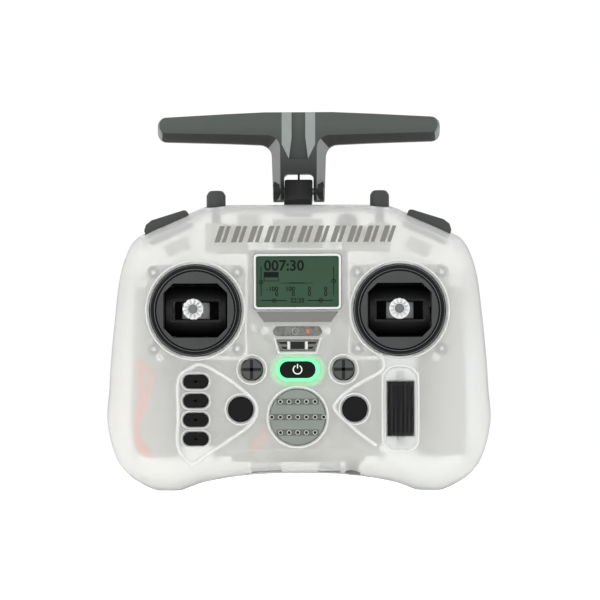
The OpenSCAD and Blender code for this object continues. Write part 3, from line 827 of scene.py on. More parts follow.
def build_rear_shell():
    """Rear half of the case, its battery doors and the bay of the module."""
    outer, inner = hollow("rear_case", back_ring, BACK_T, -0.01)
    cut_each(inner, recess_prism("cut", WALL, WALL))
    cut_each(outer, inner, recess_prism("cut", 0, 0))
    pieces = []
    for side, sign in SIDES.items():
        door = outer.copy()
        door.data = outer.data.copy()
        bpy.context.scene.collection.objects.link(door)
        door.name = door.data.name = side + "_door"
        ends = sorted((sign * DOOR_X, sign * FAR))
        keep = block("keep", (ends[0], DOOR_Y, DOOR_Z[0]), (ends[1], FAR, DOOR_Z[1]), 0)
        cut_each(door, keep, operation="INTERSECT")
        softened(door, 0.35, 50)
        smooth(door, 40)
        pieces.append(finished(door, side + "_battery_door", LOOKS["shell"], "clear_shell",
                               side + "_battery_door"))
        ends = sorted((sign * (DOOR_X - SLIT), sign * FAR))
        cut_each(outer, block("cut", (ends[0], DOOR_Y - SLIT, DOOR_Z[0] - SLIT),
                              (ends[1], FAR, DOOR_Z[1] + SLIT), 0))
    z, half_x, half_z = BAY
    cup_x = half_x + CUP_WALL
    cup_z = half_z + CUP_WALL
    cup = block("cup", (-cup_x, 1.5, z - cup_z), (cup_x, 18.6, z + cup_z), 0)
    cut_each(outer, cup, operation="UNION")
    cut_each(outer, block("cut", (-half_x, 2.9, z - half_z), (half_x, 40, z + half_z), 0),
             block("cut", (-11, 1, z + 4), (11, 4, z + 8), 0))
    for x, r in REAR_HOLES:
        cut_each(outer, slab("cut", circle(r, 48, (x, REAR_HOLE_Z)), 3, 12, front=0))
    for x, z in POSTS:
        for sign in (-1, 1):
            start = 5.7 if z > 50 else 7
            cut_each(outer, slab("cut", circle(POST_R, 32, (x * sign, z)), start, 40, front=0))
    cut_each(outer, *top_tools())
    cut_each(outer, *bottom_tools())
    softened(outer, 0.3, 50)
    smooth(outer, 40)
    pieces.append(finished(outer, "housing", LOOKS["shell"], "clear_shell", "rear_shell"))
    return pieces


# ---------------------------------------------------------------- screen and face details
SCREEN_Y = edge("lcd_glass", 1, False)
PRINT_Y = SCREEN_Y - 0.04
BAND_TOP = 107.2
BAND_LOW = 100.6
BAND_LEAN = 2.2
BAND_PITCH = 6.7
BAND_PAIRS = 11


def flat_mark(points, y=None, depth=0.1):
    """Thin printed shape on the face or the screen."""
    front = PRINT_Y if y is None else y
    return slab("mark", points, front, front + depth, front=0)


def bar(x0, z0, x1, z1, y=None):
    """Thin upright rectangle between two corners."""
    return flat_mark([(x1, z1), (x0, z1), (x0, z0), (x1, z0)], y)


def digits(text, x, z, size, align="CENTER"):
    """Digits on the screen, thick enough to be seen."""
    bpy.ops.object.select_all(action="DESELECT")
    bpy.ops.object.text_add(location=(x * MM, (PRINT_Y + 0.05) * MM, z * MM),
                            rotation=(math.pi / 2, 0, 0))
    obj = bpy.context.object
    obj.data.body = text
    obj.data.size = size * MM
    obj.data.extrude = 0.05 * MM
    obj.data.offset = 0.02 * size * MM
    obj.data.resolution_u = 3
    obj.data.align_x = align
    obj.data.align_y = "CENTER"
    only(obj)
    bpy.ops.object.convert(target="MESH")
    return settle(bpy.context.object)


# Bars of the screen from its middle: scales at the sides, lines at the foot and in the
# middle, then the filled box and its frame. Each is left, low, right and high.
SCREEN_BARS = ((-14.85, -5.7, -14.55, 6.1), (14.55, -5.7, 14.85, 6.1),
               (-14.9, -7.85, -4.3, -7.5), (4.1, -7.85, 14.3, -7.5),
               (-7.2, -0.68, 6.3, -0.5), (-3.5, -0.78, 3, -0.42),
               (-13.6, 1.7, -7.6, 3.9), (-13.6, 0.15, -7.6, 0.4),
               (-13.6, 0.15, -13.35, 1.8), (-7.85, 0.15, -7.6, 1.8))


def build_screen():
    """Green screen, its bright rim and the marks on it."""
    x, z = LCD
    glass = slab("screen", rounded(WINDOW_W, WINDOW_H, 0.9, LCD), SCREEN_Y, SCREEN_Y + 1, 0.12)
    smooth(glass)
    finished(glass, "housing", LOOKS["lcd"], "display", "lcd_glass")
    marks = [bar(x + x0, z + z0, x + x1, z + z1) for x0, z0, x1, z1 in SCREEN_BARS]
    for a, b in ((-14.7, -0.2), (14.7, 0.2), (-9.4, -7.7), (9.4, -7.7)):
        ring = circle(0.72, 16, (x + a, z + b))
        marks.append(tube("mark", at_depth(ring, PRINT_Y + 0.04), 0.16, True))
    marks.append(digits("007:30", x - 5.4, z + 6.3, 6.0))
    for row, values in enumerate((("-100", "100", "0", "0"), ("0", "0", "0", "0"))):
        for value, right in zip(values, (-7.8, -1, 5.5, 12.1)):
            marks.append(digits(value, x + right, z - 3.1 - 2 * row, 2.6, "RIGHT"))
    marks.append(digits("22:25", x, z - 7.7, 2.6))
    piece = joined("screen_marks", *marks)
    finished(piece, "housing", LOOKS["segments"], "display")
    rim = slab("screen_rim", rounded(WINDOW_W + 1.9, WINDOW_H + 1.9, 1.6, LCD), FACE_Y - 0.65,
               FACE_Y + 1.7, 0.4)
    cut_each(rim, slab("cut", rounded(WINDOW_W, WINDOW_H, 0.9, LCD), -30, 0, front=0))
    smooth(softened(rim, 0.25, 50))
    finished(rim, "housing", LOOKS["rim"], "grey_plastic", "lcd_frame")
    dressed("lcd_module", "panel")
    return piece


def build_face_marks():
    """Band of slanted blocks over the screen, the sloped sill under it and its shade."""
    blocks = []
    for k in range(BAND_PAIRS):
        x = -33.6 + k * BAND_PITCH
        for part, width in ((0, 2.1), (3.0, 1.5)):
            a = x + part
            b = a + width
            blocks.append(flat_mark([(b + BAND_LEAN, BAND_TOP), (a + BAND_LEAN, BAND_TOP),
                                     (a, BAND_LOW), (b, BAND_LOW)], FACE_Y - 0.05, 0.1))
    band = joined("face_band", *blocks)
    finished(band, "housing", LOOKS["ink"], "clear_shell")
    sill = flat_mark([(16.6, 72.4), (-16.6, 72.4), (-13.6, 68.2), (13.6, 68.2)],
                     FACE_Y - 0.06, 0.12)
    finished(sill, "housing", LOOKS["panel"], "clear_shell")
    sill.name = sill.data.name = "screen_sill"
    window = from_cad("window_pane", "status_window", 0.15)
    finished(window, "housing", LOOKS["window"], "display", "status_window")
    x, z = WINDOW
    part = block("window_part", (x + 3.2, -10.6, z - 1.1), (x + 5, -9.4, z + 1.1), 0.2)
    finished(part, "housing", LOOKS["orange"], "circuit_board")
    loop = tube("window_loop", at_depth(circle(1.2, 24, (x - 1, z)), -10.3), 0.16, True)
    finished(loop, "housing", LOOKS["rim"], "circuit_board")
    return [band, sill, window, part, loop]


def build_lanyard():
    """Strap opening: a grey cup with a dark core and two posts."""
    cup = copied("lanyard_anchor", "panel", 0.2)
    z = LANYARD[1]
    core = block("strap_core", (-3.1, -12.3, z - 1.6), (3.1, -10.6, z + 1.6), 0.3)
    finished(core, "housing", LOOKS["matt"], "black_gloss")
    pins = []
    for sign in (-1, 1):
        pins.append(tube("pin", [(sign * 3.6, -12.3, z - 1.6), (sign * 3.6, -12.3, z + 1.6)],
                         0.6))
    posts = joined("strap_posts", *pins)
    finished(posts, "housing", LOOKS["rim"], "black_gloss")
    return [cup, posts]


# ---------------------------------------------------------------- controls
DISH_R = 15.7
DISH_MIDDLE_R = 10.5
DISH_DEEP_Y = -12.06
DISH_RIM_Y = -13.62
DISH_THICK = 0.16
WELL_Y = 10.8
COVER_Y = -9.44
SLOT_FRONT_Y = -9.85
CROWN_SLOTS = 12
HOLE_PITCH = 3.5
ROW_PITCH = 6.25


def build_wells(side):
    """Grey dish, dark well, pale frame, grey ring lines of painted highlight and slot rim of one
    stick unit.
    """
    x, z = STICKS[side]
    under = DISH_DEEP_Y + DISH_THICK
    dish = lathe("dish", [(0.3, DISH_DEEP_Y), (DISH_MIDDLE_R, DISH_DEEP_Y),
                          (DISH_R, DISH_RIM_Y), (DISH_R, DISH_RIM_Y + 0.17),
                          (DISH_MIDDLE_R, under), (0.3, under)], (x, z))
    corners = [(13, 7), (9, 11), (-9, 11), (-13, 7), (-13, -7), (-9, -11), (9, -11), (13, -7)]
    cut_each(dish, slab("cut", [(x + a, z + b) for a, b in corners], -20, -5, front=0))
    smooth(dish)
    dish.name = dish.data.name = side + "_dish"
    finished(dish, "housing", LOOKS["dish"], "black_gloss")
    well = slab("well", rounded(31.6, 27.6, 1, (x, z)), WELL_Y, WELL_Y + 0.4, front=0)
    well.name = well.data.name = side + "_well"
    finished(well, "housing", LOOKS["matt"], "black_matte")
    cover = slab("cover", rounded(39.6, 36.6, 3.2, (x, z)), COVER_Y, COVER_Y + 0.11, front=0)
    holes = [slab("cut", circle(17.5, 64, (x, z)), -20, 0, front=0)]
    holes += [slab("cut", circle(2.5, 24, (x + a, z + b)), -20, 0, front=0)
              for a in (-17, 17) for b in (-15.5, 15.5)]
    cut_each(cover, *holes)
    cover.name = cover.data.name = side + "_frame_cover"
    finished(cover, "housing", LOOKS["inner"], "clear_shell")
    # Painted highlights: thin grey beads on the black ring stand for the light caught along its
    # steps.
    ring_highlights = [tube("bead", at_depth(circle(r, 64, (x, z)), y), 0.13, True)
             for r, y in ((RING_R - 0.55, -14.5), (RING_R - 2.2, -14.1), (RING_R - 3, -13.5))]
    ring_highlights = joined(side + "_ring_painted_highlights", *ring_highlights)
    finished(ring_highlights, "housing", LOOKS["stick"], "black_gloss")
    rim = slab("slot_rim", rounded(21.6, 9.6, 1.6, (x, z)), SLOT_FRONT_Y, -8.4, 0.2)
    cut_each(rim, slab("cut", rounded(19, 7.5, 0.5, (x, z)), -20, 0, front=0))
    dots = [slab("dot", circle(0.7, 20, (x + a, z)), -9.95, -9.0, 0.15) for a in (-11.6, 11.6)]
    smooth(joined(side + "_slot_rim", rim, *dots))
    finished(rim, side + "_drum", LOOKS["gloss"], "black_matte")
    return [dish, well, cover, rim]


def build_crown(side):
    """Machined stick end: a bored crown with twelve narrow slots."""
    node = side + "_stick_end"
    x, z = STICKS[side]
    front = edge(node, 1, False)
    root = edge(node, 1, True)
    crown = lathe(node + "_shape", [(2.1, front + 0.5), (2.3, front + 0.1), (3.7, front),
                                    (4.1, front + 0.35), (4.1, root - 3.2), (3.0, root - 2.4),
                                    (3.0, root)], (x, z))
    cut_each(crown, slab("cut", circle(1.9, 48, (x, z)), front - 1, front + 2.4, front=0))
    for k in range(CROWN_SLOTS):
        a = math.radians(360 / CROWN_SLOTS * (k + 0.5))
        out = Vector((math.cos(a), math.sin(a)))
        across = Vector((-out.y, out.x)) * 0.4
        near = Vector((x, z)) + out * 2.25
        far = Vector((x, z)) + out * 6
        shape = [tuple(p) for p in (near - across, far - across, far + across, near + across)]
        cut_each(crown, slab("cut", shape, front - 1, front + 4, front=0))
    smooth(softened(crown, 0.08, 50))
    finished(crown, side + "_stick", LOOKS["crown"], "metal_bright", node)
    plug = slab("plug", circle(1.85, 32, (x, z)), front + 0.5, front + 2.3, 0.3)
    plug.name = plug.data.name = side + "_crown_plug"
    finished(smooth(plug), side + "_stick", LOOKS["stick"], "grey_plastic")
    return crown


def build_gimbals():
    """Rings, drums, sticks and crowns of both stick units."""
    pieces = []
    for side in SIDES:
        pieces.append(copied(side + "_gimbal_ring", "gloss", 0.25))
        pieces += build_wells(side)
        pieces.append(copied(side + "_gimbal_frame", "matt", 0.2))
        pieces.append(copied(side + "_drum", "matt", 0.25))
        pieces.append(copied(side + "_stick", "stick", 0.15))
        pieces.append(build_crown(side))
    dressed("gimbal_sensors", "board")
    return pieces


def build_keys():
    """Rubber keys beside the speaker and round keys under the trims."""
    pieces = []
    for k, p in enumerate(PAGES, 1):
        node = "page_button_%d" % k
        w, _, h = span(node)
        low = edge(node, 1, False)
        high = edge(node, 1, True)
        cap = slab("key", pill(w - 1.2, h - 1.2, p), low, high, 0.45)
        foot = slab("foot", pill(w, h, p), high - 0.8, high, 0.1)
        mark = slab("bump", circle(0.55, 16, p), low, low + 0.3, 0)
        smooth(joined(node + "_shape", cap, foot, mark))
        pieces.append(finished(cap, node, LOOKS["rubber"], "key_rubber", node))
    for side, p in zip(SIDES, ROUNDS):
        node = side + "_round_button"
        w = span(node)[0]
        low = edge(node, 1, False)
        high = edge(node, 1, True)
        cap = lathe("key", [(w / 2 - 2.6, low + 0.22), (w / 2 - 2.0, low + 0.05),
                            (w / 2 - 1.5, low), (w / 2 - 1.0, low + 0.1),
                            (w / 2 - 0.65, low + 0.45), (w / 2 - 0.6, high)], p)
        foot = lathe("foot", [(w / 2, high - 0.8), (w / 2, high)], p)
        smooth(joined(node + "_shape", cap, foot))
        pieces.append(finished(cap, node, LOOKS["rubber"], "key_rubber", node))
    return pieces


def build_power():
    """Power key with its white mark, the lit ring round it and the light guide under it."""
    node = "power_button"
    w, _, h = span(node)
    low = edge(node, 1, False)
    high = edge(node, 1, True)
    cap = slab("key", pill(14.1, 6.3, POWER), low, high, 0.5)
    foot = slab("foot", pill(w, h, POWER), high - 0.8, high, 0.1)
    smooth(joined(node + "_shape", cap, foot))
    finished(cap, node, LOOKS["rubber"], "key_rubber", node)
    open_arc = arc(POWER, 1.75, 120, 420, 24)
    mark = tube("power_mark", at_depth(open_arc, low), 0.24)
    stem = tube("power_stem", [(POWER[0], low, POWER[1] + 0.5),
                               (POWER[0], low, POWER[1] + 2.3)], 0.24)
    joined("power_mark", mark, stem)
    finished(mark, node, LOOKS["white"], "key_rubber")
    ring = copied("power_light_ring", "ring", 0.3)
    guide = tube("light_guide", at_depth(pill(20.6, 12, POWER), INNER_Y + 1.3), 1.1, True)
    finished(guide, "housing", LOOKS["halo"], "light_ring")
    return [cap, mark, ring]


def build_trims():
    """Rocking trim caps with black crosses of painted shade for their crossed grooves, and the
    pins that they rock on.
    """
    pieces = []
    for side in SIDES:
        pieces.append(copied(side + "_trim", "cap", 0.2))
        dressed(side + "_trim_pivot", "steel")
        x, z = TRIMS[0 if side == "left" else 1]
        low = edge(side + "_trim", 1, False)
        # Painted shade: a black cross laid on the cap where its grooves are.
        cross = joined("cross", block("a", (x - 3.9, low - 0.05, z - 0.65),
                                      (x + 3.9, low + 0.8, z + 0.65), 0.05),
                       block("b", (x - 0.65, low - 0.05, z - 3.9),
                             (x + 0.65, low + 0.8, z + 3.9), 0.05))
        cross.name = cross.data.name = side + "_trim_groove_shade"
        pieces.append(finished(cross, side + "_trim", LOOKS["matt"], "grey_plastic"))
    return pieces


def build_roller():
    """Ribbed roller, its pale axle and its frosted cradle."""
    x, y, z = spot("roller")
    drum = from_cad("roller_shape", "roller", 0.12)
    cut_each(drum, block("keep", (x - 7, y - 7, z - 11.1), (x + 7, y + 7, z + 11.1), 0),
             operation="INTERSECT")
    smooth(drum)
    finished(drum, "roller", LOOKS["gloss"], "black_gloss", "roller")
    axle = turned_up("roller_axle", [(1.5, z - 14.8), (1.5, z + 14.8)], (x, y), 32)
    finished(smooth(axle), "roller", LOOKS["rim"], "black_gloss")
    return [drum, axle, copied("roller_carrier", "cradle", 0.4)]


def build_grille():
    """Speaker disc: a rimmed plate, three sunk bands with floors darkened as painted shade, and
    rows of holes with black discs of painted shade and pale raised rims of painted highlight.
    """
    x, z = GRILLE
    low = edge("speaker_grille", 1, False)
    plate = lathe("speaker_disc", [(10.6, low + 0.12), (11.0, low), (11.2, low + 0.25),
                                   (11.2, low + 2.2)], GRILLE)
    holes = []
    highlight_rims = []
    dots = []
    shaded_band_floors = []
    for row, count, half in ((ROW_PITCH, 5, 8.6), (0, 7, 12), (-ROW_PITCH, 5, 8.6)):
        band = slab("cut", rounded(2 * half, 2.6, 0.7, (x, z + row)), low - 1, low + 0.6, 0)
        holes.append(band)
        wide = min(half, 10.9)
        # Painted shade: a darker plate on the floor of each sunk band.
        shaded_band_floors.append(slab("floor", rounded(2 * wide - 0.4, 2.2, 0.6, (x, z + row)),
                           low + 0.55, low + 0.75, front=0))
        for k in range(count):
            p = (x + (k - (count - 1) / 2) * HOLE_PITCH, z + row)
            holes.append(slab("cut", circle(0.45, 16, p), low - 1, low + 1.9, front=0))
            # Painted highlight: a pale bead round each hole.
            highlight_rims.append(tube("rim", at_depth(circle(0.8, 16, p), low + 0.55), 0.15, True))
            # Painted shade: a black disc inside each hole.
            dots.append(slab("dot", circle(0.6, 16, p), low + 0.5, low + 0.62, front=0))
    cut_each(plate, *holes)
    smooth(softened(plate, 0.12, 50))
    finished(plate, "housing", LOOKS["grille"], "grey_plastic", "speaker_grille")
    finished(joined("speaker_band_shade", *shaded_band_floors), "housing", LOOKS["band"], "grey_plastic")
    finished(joined("speaker_hole_highlights", *highlight_rims), "housing", LOOKS["line"], "grey_plastic")
    finished(joined("speaker_hole_shade", *dots), "housing", LOOKS["matt"], "grey_plastic")
    dressed("speaker", "matt")
    return plate


def build_top_controls():
    """Levers and shoulder buttons on the top edge."""
    pieces = []
    for side in SIDES:
        pieces.append(copied(side + "_toggle", "wedge", 0.3))
        pieces.append(copied(side + "_shoulder_button", "wedge", 0.5))
    dressed("top_switches", "inner")
    return pieces


def build_rear_controls():
    """Round button, dial, module cover and screws of the back."""
    return [copied("rear_button", "wedge", 0.3), copied("rear_dial", "wedge", 0.12),
            copied("module_cover", "shell", 0.35), copied("screws", "steel", 0.1)]


# ---------------------------------------------------------------- antenna
BACK_FROM_PIN = 4.2
HUB_R = 4.3
FORK_INSIDE = 6.15
STEM_HALF = 10.55
ARM_UNDER = 141.9
CHANNEL_HALF = 2.75
CHANNEL_LOW = 135.8
CHANNEL_TAPER = 144.7


def t_outline(foot, neck, under, end_under, reach, top):
    """Outline of the T: half widths of the stem, the arms' underside, reach and top."""
    fillet = 5.0
    half = [(foot, HINGE[1] - 3.6), (neck, under - fillet)]
    half += arc((neck + fillet, under - fillet), fillet, 180, 90)[1:]
    half += [(30, under + (end_under - under) * 0.45)]
    corner = min(3.6, (top - 2 - end_under) / 2 - 0.3)
    half += arc((reach - corner, end_under + corner), corner, -90, 0)
    half += arc((reach - corner, top - 2 - corner), corner, 0, 90)
    half += [(30, top - 0.7), (14, top), (7, top)]
    return mirrored(half)


def build_antenna():
    """T antenna with slanted lower edges, two facets and the dark channel between them; the
    facets and side slopes get lighter copies of its plastic as painted light, and its undersides
    a darker copy as painted shade.
    """
    top = edge("antenna", 2, True)
    reach = span("antenna")[0] / 2
    y, z = HINGE
    deep = y + BACK_FROM_PIN
    face = t_outline(7.6, 7.8, 145.4, 146.4, reach - 0.6, top - 0.25)
    rim = t_outline(STEM_HALF, 11.1, ARM_UNDER, 143.2, reach, top)
    body = loft("antenna_shape", [at_depth(shrunk(face, 0.25), deep - 8.4),
                                  at_depth(face, deep - 8.25), at_depth(rim, deep - 4.6),
                                  at_depth(rim, deep - 0.6), at_depth(shrunk(rim, 0.5), deep)])
    window = rounded(12.2, 24, 2.0, (0, 117.7))
    channel = [(CHANNEL_HALF, top + 1), (-CHANNEL_HALF, top + 1),
               (-CHANNEL_HALF, CHANNEL_TAPER), (-3.9, CHANNEL_LOW), (3.9, CHANNEL_LOW),
               (CHANNEL_HALF, CHANNEL_TAPER)]
    cut_each(body, slab("cut", window, -5, 40, front=0),
             slab("cut", channel, deep - 12, deep - 7.0, front=0))
    smooth(softened(body, 0.22, 40))
    for sign in (-1, 1):
        a, b = sorted((FORK_INSIDE * sign, STEM_HALF * sign))
        cheek = turned_across("cheek", [(HUB_R - 0.3, a), (HUB_R, a + 0.3), (HUB_R, b - 0.3),
                                        (HUB_R - 0.3, b)], HINGE)
        web = block("web", (a, y - 3.9, z), (b, y + 3.9, z + 3), 0.2)
        body = joined("antenna_shape", body, smooth(cheek), web)
    finished(body, "antenna", LOOKS["antenna"], "dark_plastic", "antenna")
    # The facets are a lighter grey: painted light.
    facets = []
    for sign in (-1, 1):
        shape = [(6.9, top - 0.3), (2.8, top - 0.3), (2.8, CHANNEL_TAPER),
                 (3.95, CHANNEL_LOW + 0.1), (6.9, ARM_UNDER)]
        if sign < 0:
            shape = [(-p, q) for p, q in reversed(shape)]
        facets.append(slab("facet", shape, deep - 8.52, deep - 7.6, 0.1))
    finished(joined("antenna_facets", *facets), "antenna", LOOKS["facet"], "dark_plastic")
    # Painted light and shade by facing: faces turned sideways get the lighter slope colour,
    # faces turned down the darker under colour.
    body.data.materials.append(LOOKS["slope"])
    body.data.materials.append(LOOKS["under"])
    for face in body.data.polygons:
        n = face.normal
        if n.y < -0.2 and abs(n.x) > 0.4:
            face.material_index = 1
        elif n.y < -0.2 and n.z < -0.3:
            face.material_index = 2
    knuckle = from_cad("hinge_shape", "hinge_block", 0.35)
    cover = block("hinge_cover", (-5.5, y - 4.7, TOP_Z + 0.3), (5.5, y - 0.9, z + 4.8), 0.5)
    smooth(joined("hinge_shape", knuckle, cover))
    finished(knuckle, "housing", LOOKS["gloss"], "black_gloss", "hinge_block")
    dressed("hinge_pin", "steel")
    dressed("antenna_cable", "matt")
    return body


def build_inside():
    """Bosses, wires and shields that show softly through the case."""
    bosses = [slab("boss", circle(1.7, 24, (x, z)), INNER_Y + 0.05, INNER_Y + 1.4, 0.3)
              for x, z in ((-13.3, 99.6), (11.9, 99.6), (-13.3, 64.8), (11.9, 64.8),
                           (-56, 54), (56, 54), (-28, 58), (28, 58))]
    finished(smooth(joined("bosses", *bosses)), "housing", LOOKS["white"], "clear_shell")
    left = closed_curve([(-65, 52), (-60, 46), (-63, 34), (-66, 24), (-60, 14), (-66, 20),
                         (-64, 40)], 6)
    wire = tube("wires", at_depth(left, -5.5), 1.1, True)
    low = closed_curve([(-12, 25), (-17, 20), (-24, 17), (-17, 17)], 6)
    second = tube("wires", at_depth(low, -6.8), 0.8, True)
    finished(joined("wires", wire, second), "housing", LOOKS["red"], "cell_wrap_red")
    shields = [block("shield", (a, -9.9, b), (c, -8.6, d), 0.3)
               for a, b, c, d in ((-33, 96, -20, 108), (18, 97, 34, 107), (-10, 102, 8, 110),
                                  (-34, 14, -20, 22), (22, 14, 33, 21), (-9, 12, 8, 17))]
    finished(joined("shields", *shields), "housing", LOOKS["shield"], "circuit_board")


def dress_inside():
    """Materials of everything that shows softly through the case."""
    for node, look in (("main_board", "board"), ("board_switches", "matt"),
                       ("rf_module", "board"), ("module_pins", "gold"),
                       ("left_cell", "cell_red"), ("right_cell", "cell_blue"),
                       ("battery_trays", "inner"), ("battery_contacts", "steel"),
                       ("usb_port", "steel"), ("card_slot", "steel"), ("audio_jack", "matt")):
        dressed(node, look)


# ---------------------------------------------------------------- stage
MIDDLE = (0.0006, 0.004, 0.0777)
SENSOR = 36


def light(name, place, aim, size, power):
    """Soft rectangular light that looks at a point."""
    data = bpy.data.lights.new(name, "AREA")
    data.shape = "RECTANGLE"
    data.size = size[0]
    data.size_y = size[1]
    data.energy = power
    obj = bpy.data.objects.new(name, data)
    bpy.context.scene.collection.objects.link(obj)
    obj.location = place
    obj.rotation_euler = (Vector(aim) - Vector(place)).to_track_quat("-Z", "Y").to_euler()
    return obj


def stage_look(name, strength):
    """Pale paper that is lit by itself and by the lights."""
    look = Look(name, Base_Color=(0.9, 0.9, 0.9, 1), Roughness=0.8)
    cloud = look.noise(4)
    look.feed("Emission Color", look.blend(cloud, (0.98, 0.98, 0.98, 1), (1, 1, 1, 1)))
    look.shader.inputs["Emission Strength"].default_value = strength
    return look.material


def build_stage(white, key_power, side_power, distance, field, azimuth, elevation, roll):
    """Floor, world, lights and camera; lights and camera are in metres."""
    bpy.ops.mesh.primitive_plane_add(size=8, location=(0, 0, -0.0005))
    floor = bpy.context.object
    floor.name = floor.data.name = "floor"
    floor.data.materials.append(stage_look("floor_paper", white * 0.5))
    world = bpy.data.worlds.new("studio")
    world.use_nodes = True
    back = world.node_tree.nodes["Background"]
    back.inputs["Color"].default_value = (1, 1, 1, 1)
    back.inputs["Strength"].default_value = white
    bpy.context.scene.world = world
    bpy.context.scene.view_settings.view_transform = "Standard"
    light("key", (-0.5, -0.9, 0.9), MIDDLE, (0.9, 0.6), key_power)
    light("fill", (0.9, -0.7, 0.35), MIDDLE, (0.7, 0.9), side_power)
    light("left", (-1.1, -0.1, 0.3), MIDDLE, (0.8, 1.0), side_power)
    a = math.radians(azimuth)
    e = math.radians(elevation)
    away = Vector((math.sin(a) * math.cos(e), -math.cos(a) * math.cos(e), math.sin(e)))
    data = bpy.data.cameras.new("camera")
    data.sensor_width = SENSOR
    data.lens = SENSOR * distance / field
    data.clip_end = 50
    camera = bpy.data.objects.new("camera", data)
    bpy.context.scene.collection.objects.link(camera)
    camera.location = Vector(MIDDLE) + away * distance
    turn = (-away).to_track_quat("-Z", "Y")
    camera.rotation_euler = turn.to_euler()
    camera.rotation_euler.rotate_axis("Z", math.radians(roll))
    bpy.context.scene.camera = camera
    return floor


# ---------------------------------------------------------------- settings
class CaseSettings(bpy.types.PropertyGroup):
    """Look of the case."""

    colour: bpy.props.FloatVectorProperty(
        name="Colour", description="Tint of the frosted plastic", subtype="COLOR",
        size=3, default=(0.945, 0.95, 0.93), min=0, max=1)
    through: bpy.props.FloatProperty(
        name="Light let through", description="Share of light that passes into the plastic",
        default=0.73, min=0, max=1, subtype="FACTOR")
    roughness: bpy.props.FloatProperty(
        name="Frosting", description="How matt the plastic is", default=0.36, min=0, max=1,
        subtype="FACTOR")
    ridge: bpy.props.FloatProperty(
        name="Line radius", description="Radius of the raised lines, in millimetres",
        default=0.92, min=0.1, max=2)


class StageSettings(bpy.types.PropertyGroup):
    """Lights, floor and camera."""

    white: bpy.props.FloatProperty(
        name="White", description="Strength of the white surroundings", default=1.02, min=0)
    key_power: bpy.props.FloatProperty(
        name="Key light", description="Power of the key light", default=2.7, min=0,
        unit="POWER")
    side_power: bpy.props.FloatProperty(
        name="Side lights", description="Power of each side light", default=1.5, min=0,
        unit="POWER")
    distance: bpy.props.FloatProperty(
        name="Distance", description="From the camera to the object", default=1.8, min=0.3,
        unit="LENGTH")
    field: bpy.props.FloatProperty(
        name="Field", description="Width seen at the object", default=0.2453, min=0.1,
        unit="LENGTH")
    azimuth: bpy.props.FloatProperty(
        name="Azimuth", description="Turn of the camera round the object, in degrees",
        default=1.5, min=-180, max=180)
    elevation: bpy.props.FloatProperty(
        name="Elevation", description="Height angle of the camera, in degrees",
        default=-2.0, min=-30, max=90)
    roll: bpy.props.FloatProperty(
        name="Roll", description="Turn of the camera about its own axis, in degrees",
        default=-0.15, min=-10, max=10)


# ---------------------------------------------------------------- operators
class TX_OT_looks(bpy.types.Operator):
    """Makes the materials"""

    bl_idname = "tx.looks"
    bl_label = "Materials"

    def execute(self, context):
        case = context.scene.tx_case
        make_looks(tuple(case.colour), case.through, case.roughness)
        return {"FINISHED"}


class TX_OT_shells(bpy.types.Operator):
    """Builds both halves of the case, the battery doors and what is inside"""

    bl_idname = "tx.shells"
    bl_label = "Case"

    def execute(self, context):
        build_front_shell(context.scene.tx_case.ridge)
        build_rear_shell()
        build_inside()
        dress_inside()
        return {"FINISHED"}


class TX_OT_screen(bpy.types.Operator):
    """Builds the screen, the band, the sill and the strap opening"""

    bl_idname = "tx.screen"
    bl_label = "Screen and face"

    def execute(self, context):
        build_screen()
        build_face_marks()
        build_lanyard()
        return {"FINISHED"}


class TX_OT_gimbals(bpy.types.Operator):
    """Builds both stick units"""

    bl_idname = "tx.gimbals"
    bl_label = "Stick units"

    def execute(self, context):
        build_gimbals()
        return {"FINISHED"}


class TX_OT_keys(bpy.types.Operator):
    """Builds the keys, the power key and the trims"""

    bl_idname = "tx.keys"
    bl_label = "Keys and trims"

    def execute(self, context):
        build_keys()
        build_power()
        build_trims()
        return {"FINISHED"}


class TX_OT_roller(bpy.types.Operator):
    """Builds the roller and the speaker disc"""

    bl_idname = "tx.roller"
    bl_label = "Roller and speaker"

    def execute(self, context):
        build_roller()
        build_grille()
        return {"FINISHED"}


class TX_OT_switches(bpy.types.Operator):
    """Builds the levers, shoulder buttons and rear controls"""

    bl_idname = "tx.switches"
    bl_label = "Top and rear controls"

    def execute(self, context):
        build_top_controls()
        build_rear_controls()
        return {"FINISHED"}


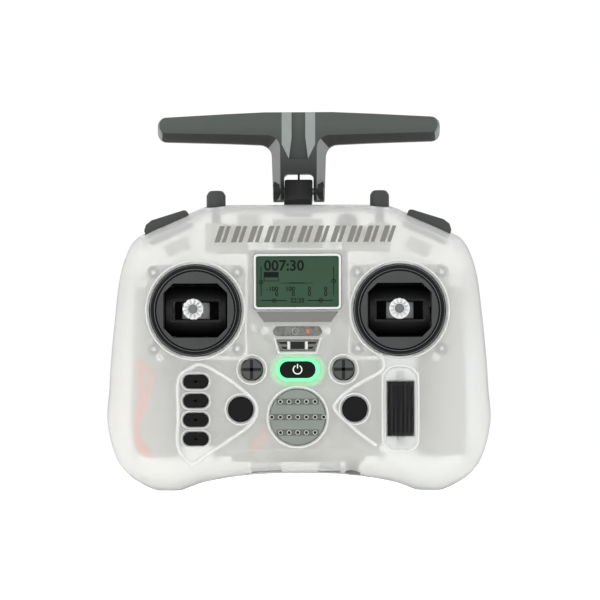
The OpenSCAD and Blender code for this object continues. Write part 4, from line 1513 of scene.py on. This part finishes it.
class TX_OT_antenna(bpy.types.Operator):
    """Builds the antenna and its hinge"""

    bl_idname = "tx.antenna"
    bl_label = "Antenna"

    def execute(self, context):
        build_antenna()
        return {"FINISHED"}


class TX_OT_stage(bpy.types.Operator):
    """Sets up the floor, the lights and the camera"""

    bl_idname = "tx.stage"
    bl_label = "Stage"

    def execute(self, context):
        s = context.scene.tx_stage
        build_stage(s.white, s.key_power, s.side_power, s.distance, s.field, s.azimuth,
                    s.elevation, s.roll)
        return {"FINISHED"}


STEPS = (TX_OT_looks, TX_OT_shells, TX_OT_screen, TX_OT_gimbals, TX_OT_keys, TX_OT_roller,
         TX_OT_switches, TX_OT_antenna, TX_OT_stage)


class TX_PT_panel(bpy.types.Panel):
    """Lists the steps and their settings"""

    bl_label = "Transmitter"
    bl_idname = "TX_PT_panel"
    bl_space_type = "VIEW_3D"
    bl_region_type = "UI"
    bl_category = "Transmitter"

    def draw(self, context):
        layout = self.layout
        for step in STEPS:
            layout.operator(step.bl_idname)
        for settings in (context.scene.tx_case, context.scene.tx_stage):
            for name in settings.bl_rna.properties.keys()[2:]:
                layout.prop(settings, name)


CLASSES = (CaseSettings, StageSettings, *STEPS, TX_PT_panel)


def register():
    """Adds the add-on's classes and settings."""
    for cls in CLASSES:
        bpy.utils.register_class(cls)
    bpy.types.Scene.tx_case = bpy.props.PointerProperty(type=CaseSettings)
    bpy.types.Scene.tx_stage = bpy.props.PointerProperty(type=StageSettings)


def unregister():
    """Takes the add-on's classes and settings away."""
    del bpy.types.Scene.tx_stage
    del bpy.types.Scene.tx_case
    for cls in reversed(CLASSES):
        bpy.utils.unregister_class(cls)


def main():
    """Builds everything in order."""
    register()
    bpy.ops.tx.looks()
    bpy.ops.tx.shells()
    bpy.ops.tx.screen()
    bpy.ops.tx.gimbals()
    bpy.ops.tx.keys()
    bpy.ops.tx.roller()
    bpy.ops.tx.switches()
    bpy.ops.tx.antenna()
    bpy.ops.tx.stage()
    bpy.context.view_layer.update()


if __name__ == "__main__":
    main()
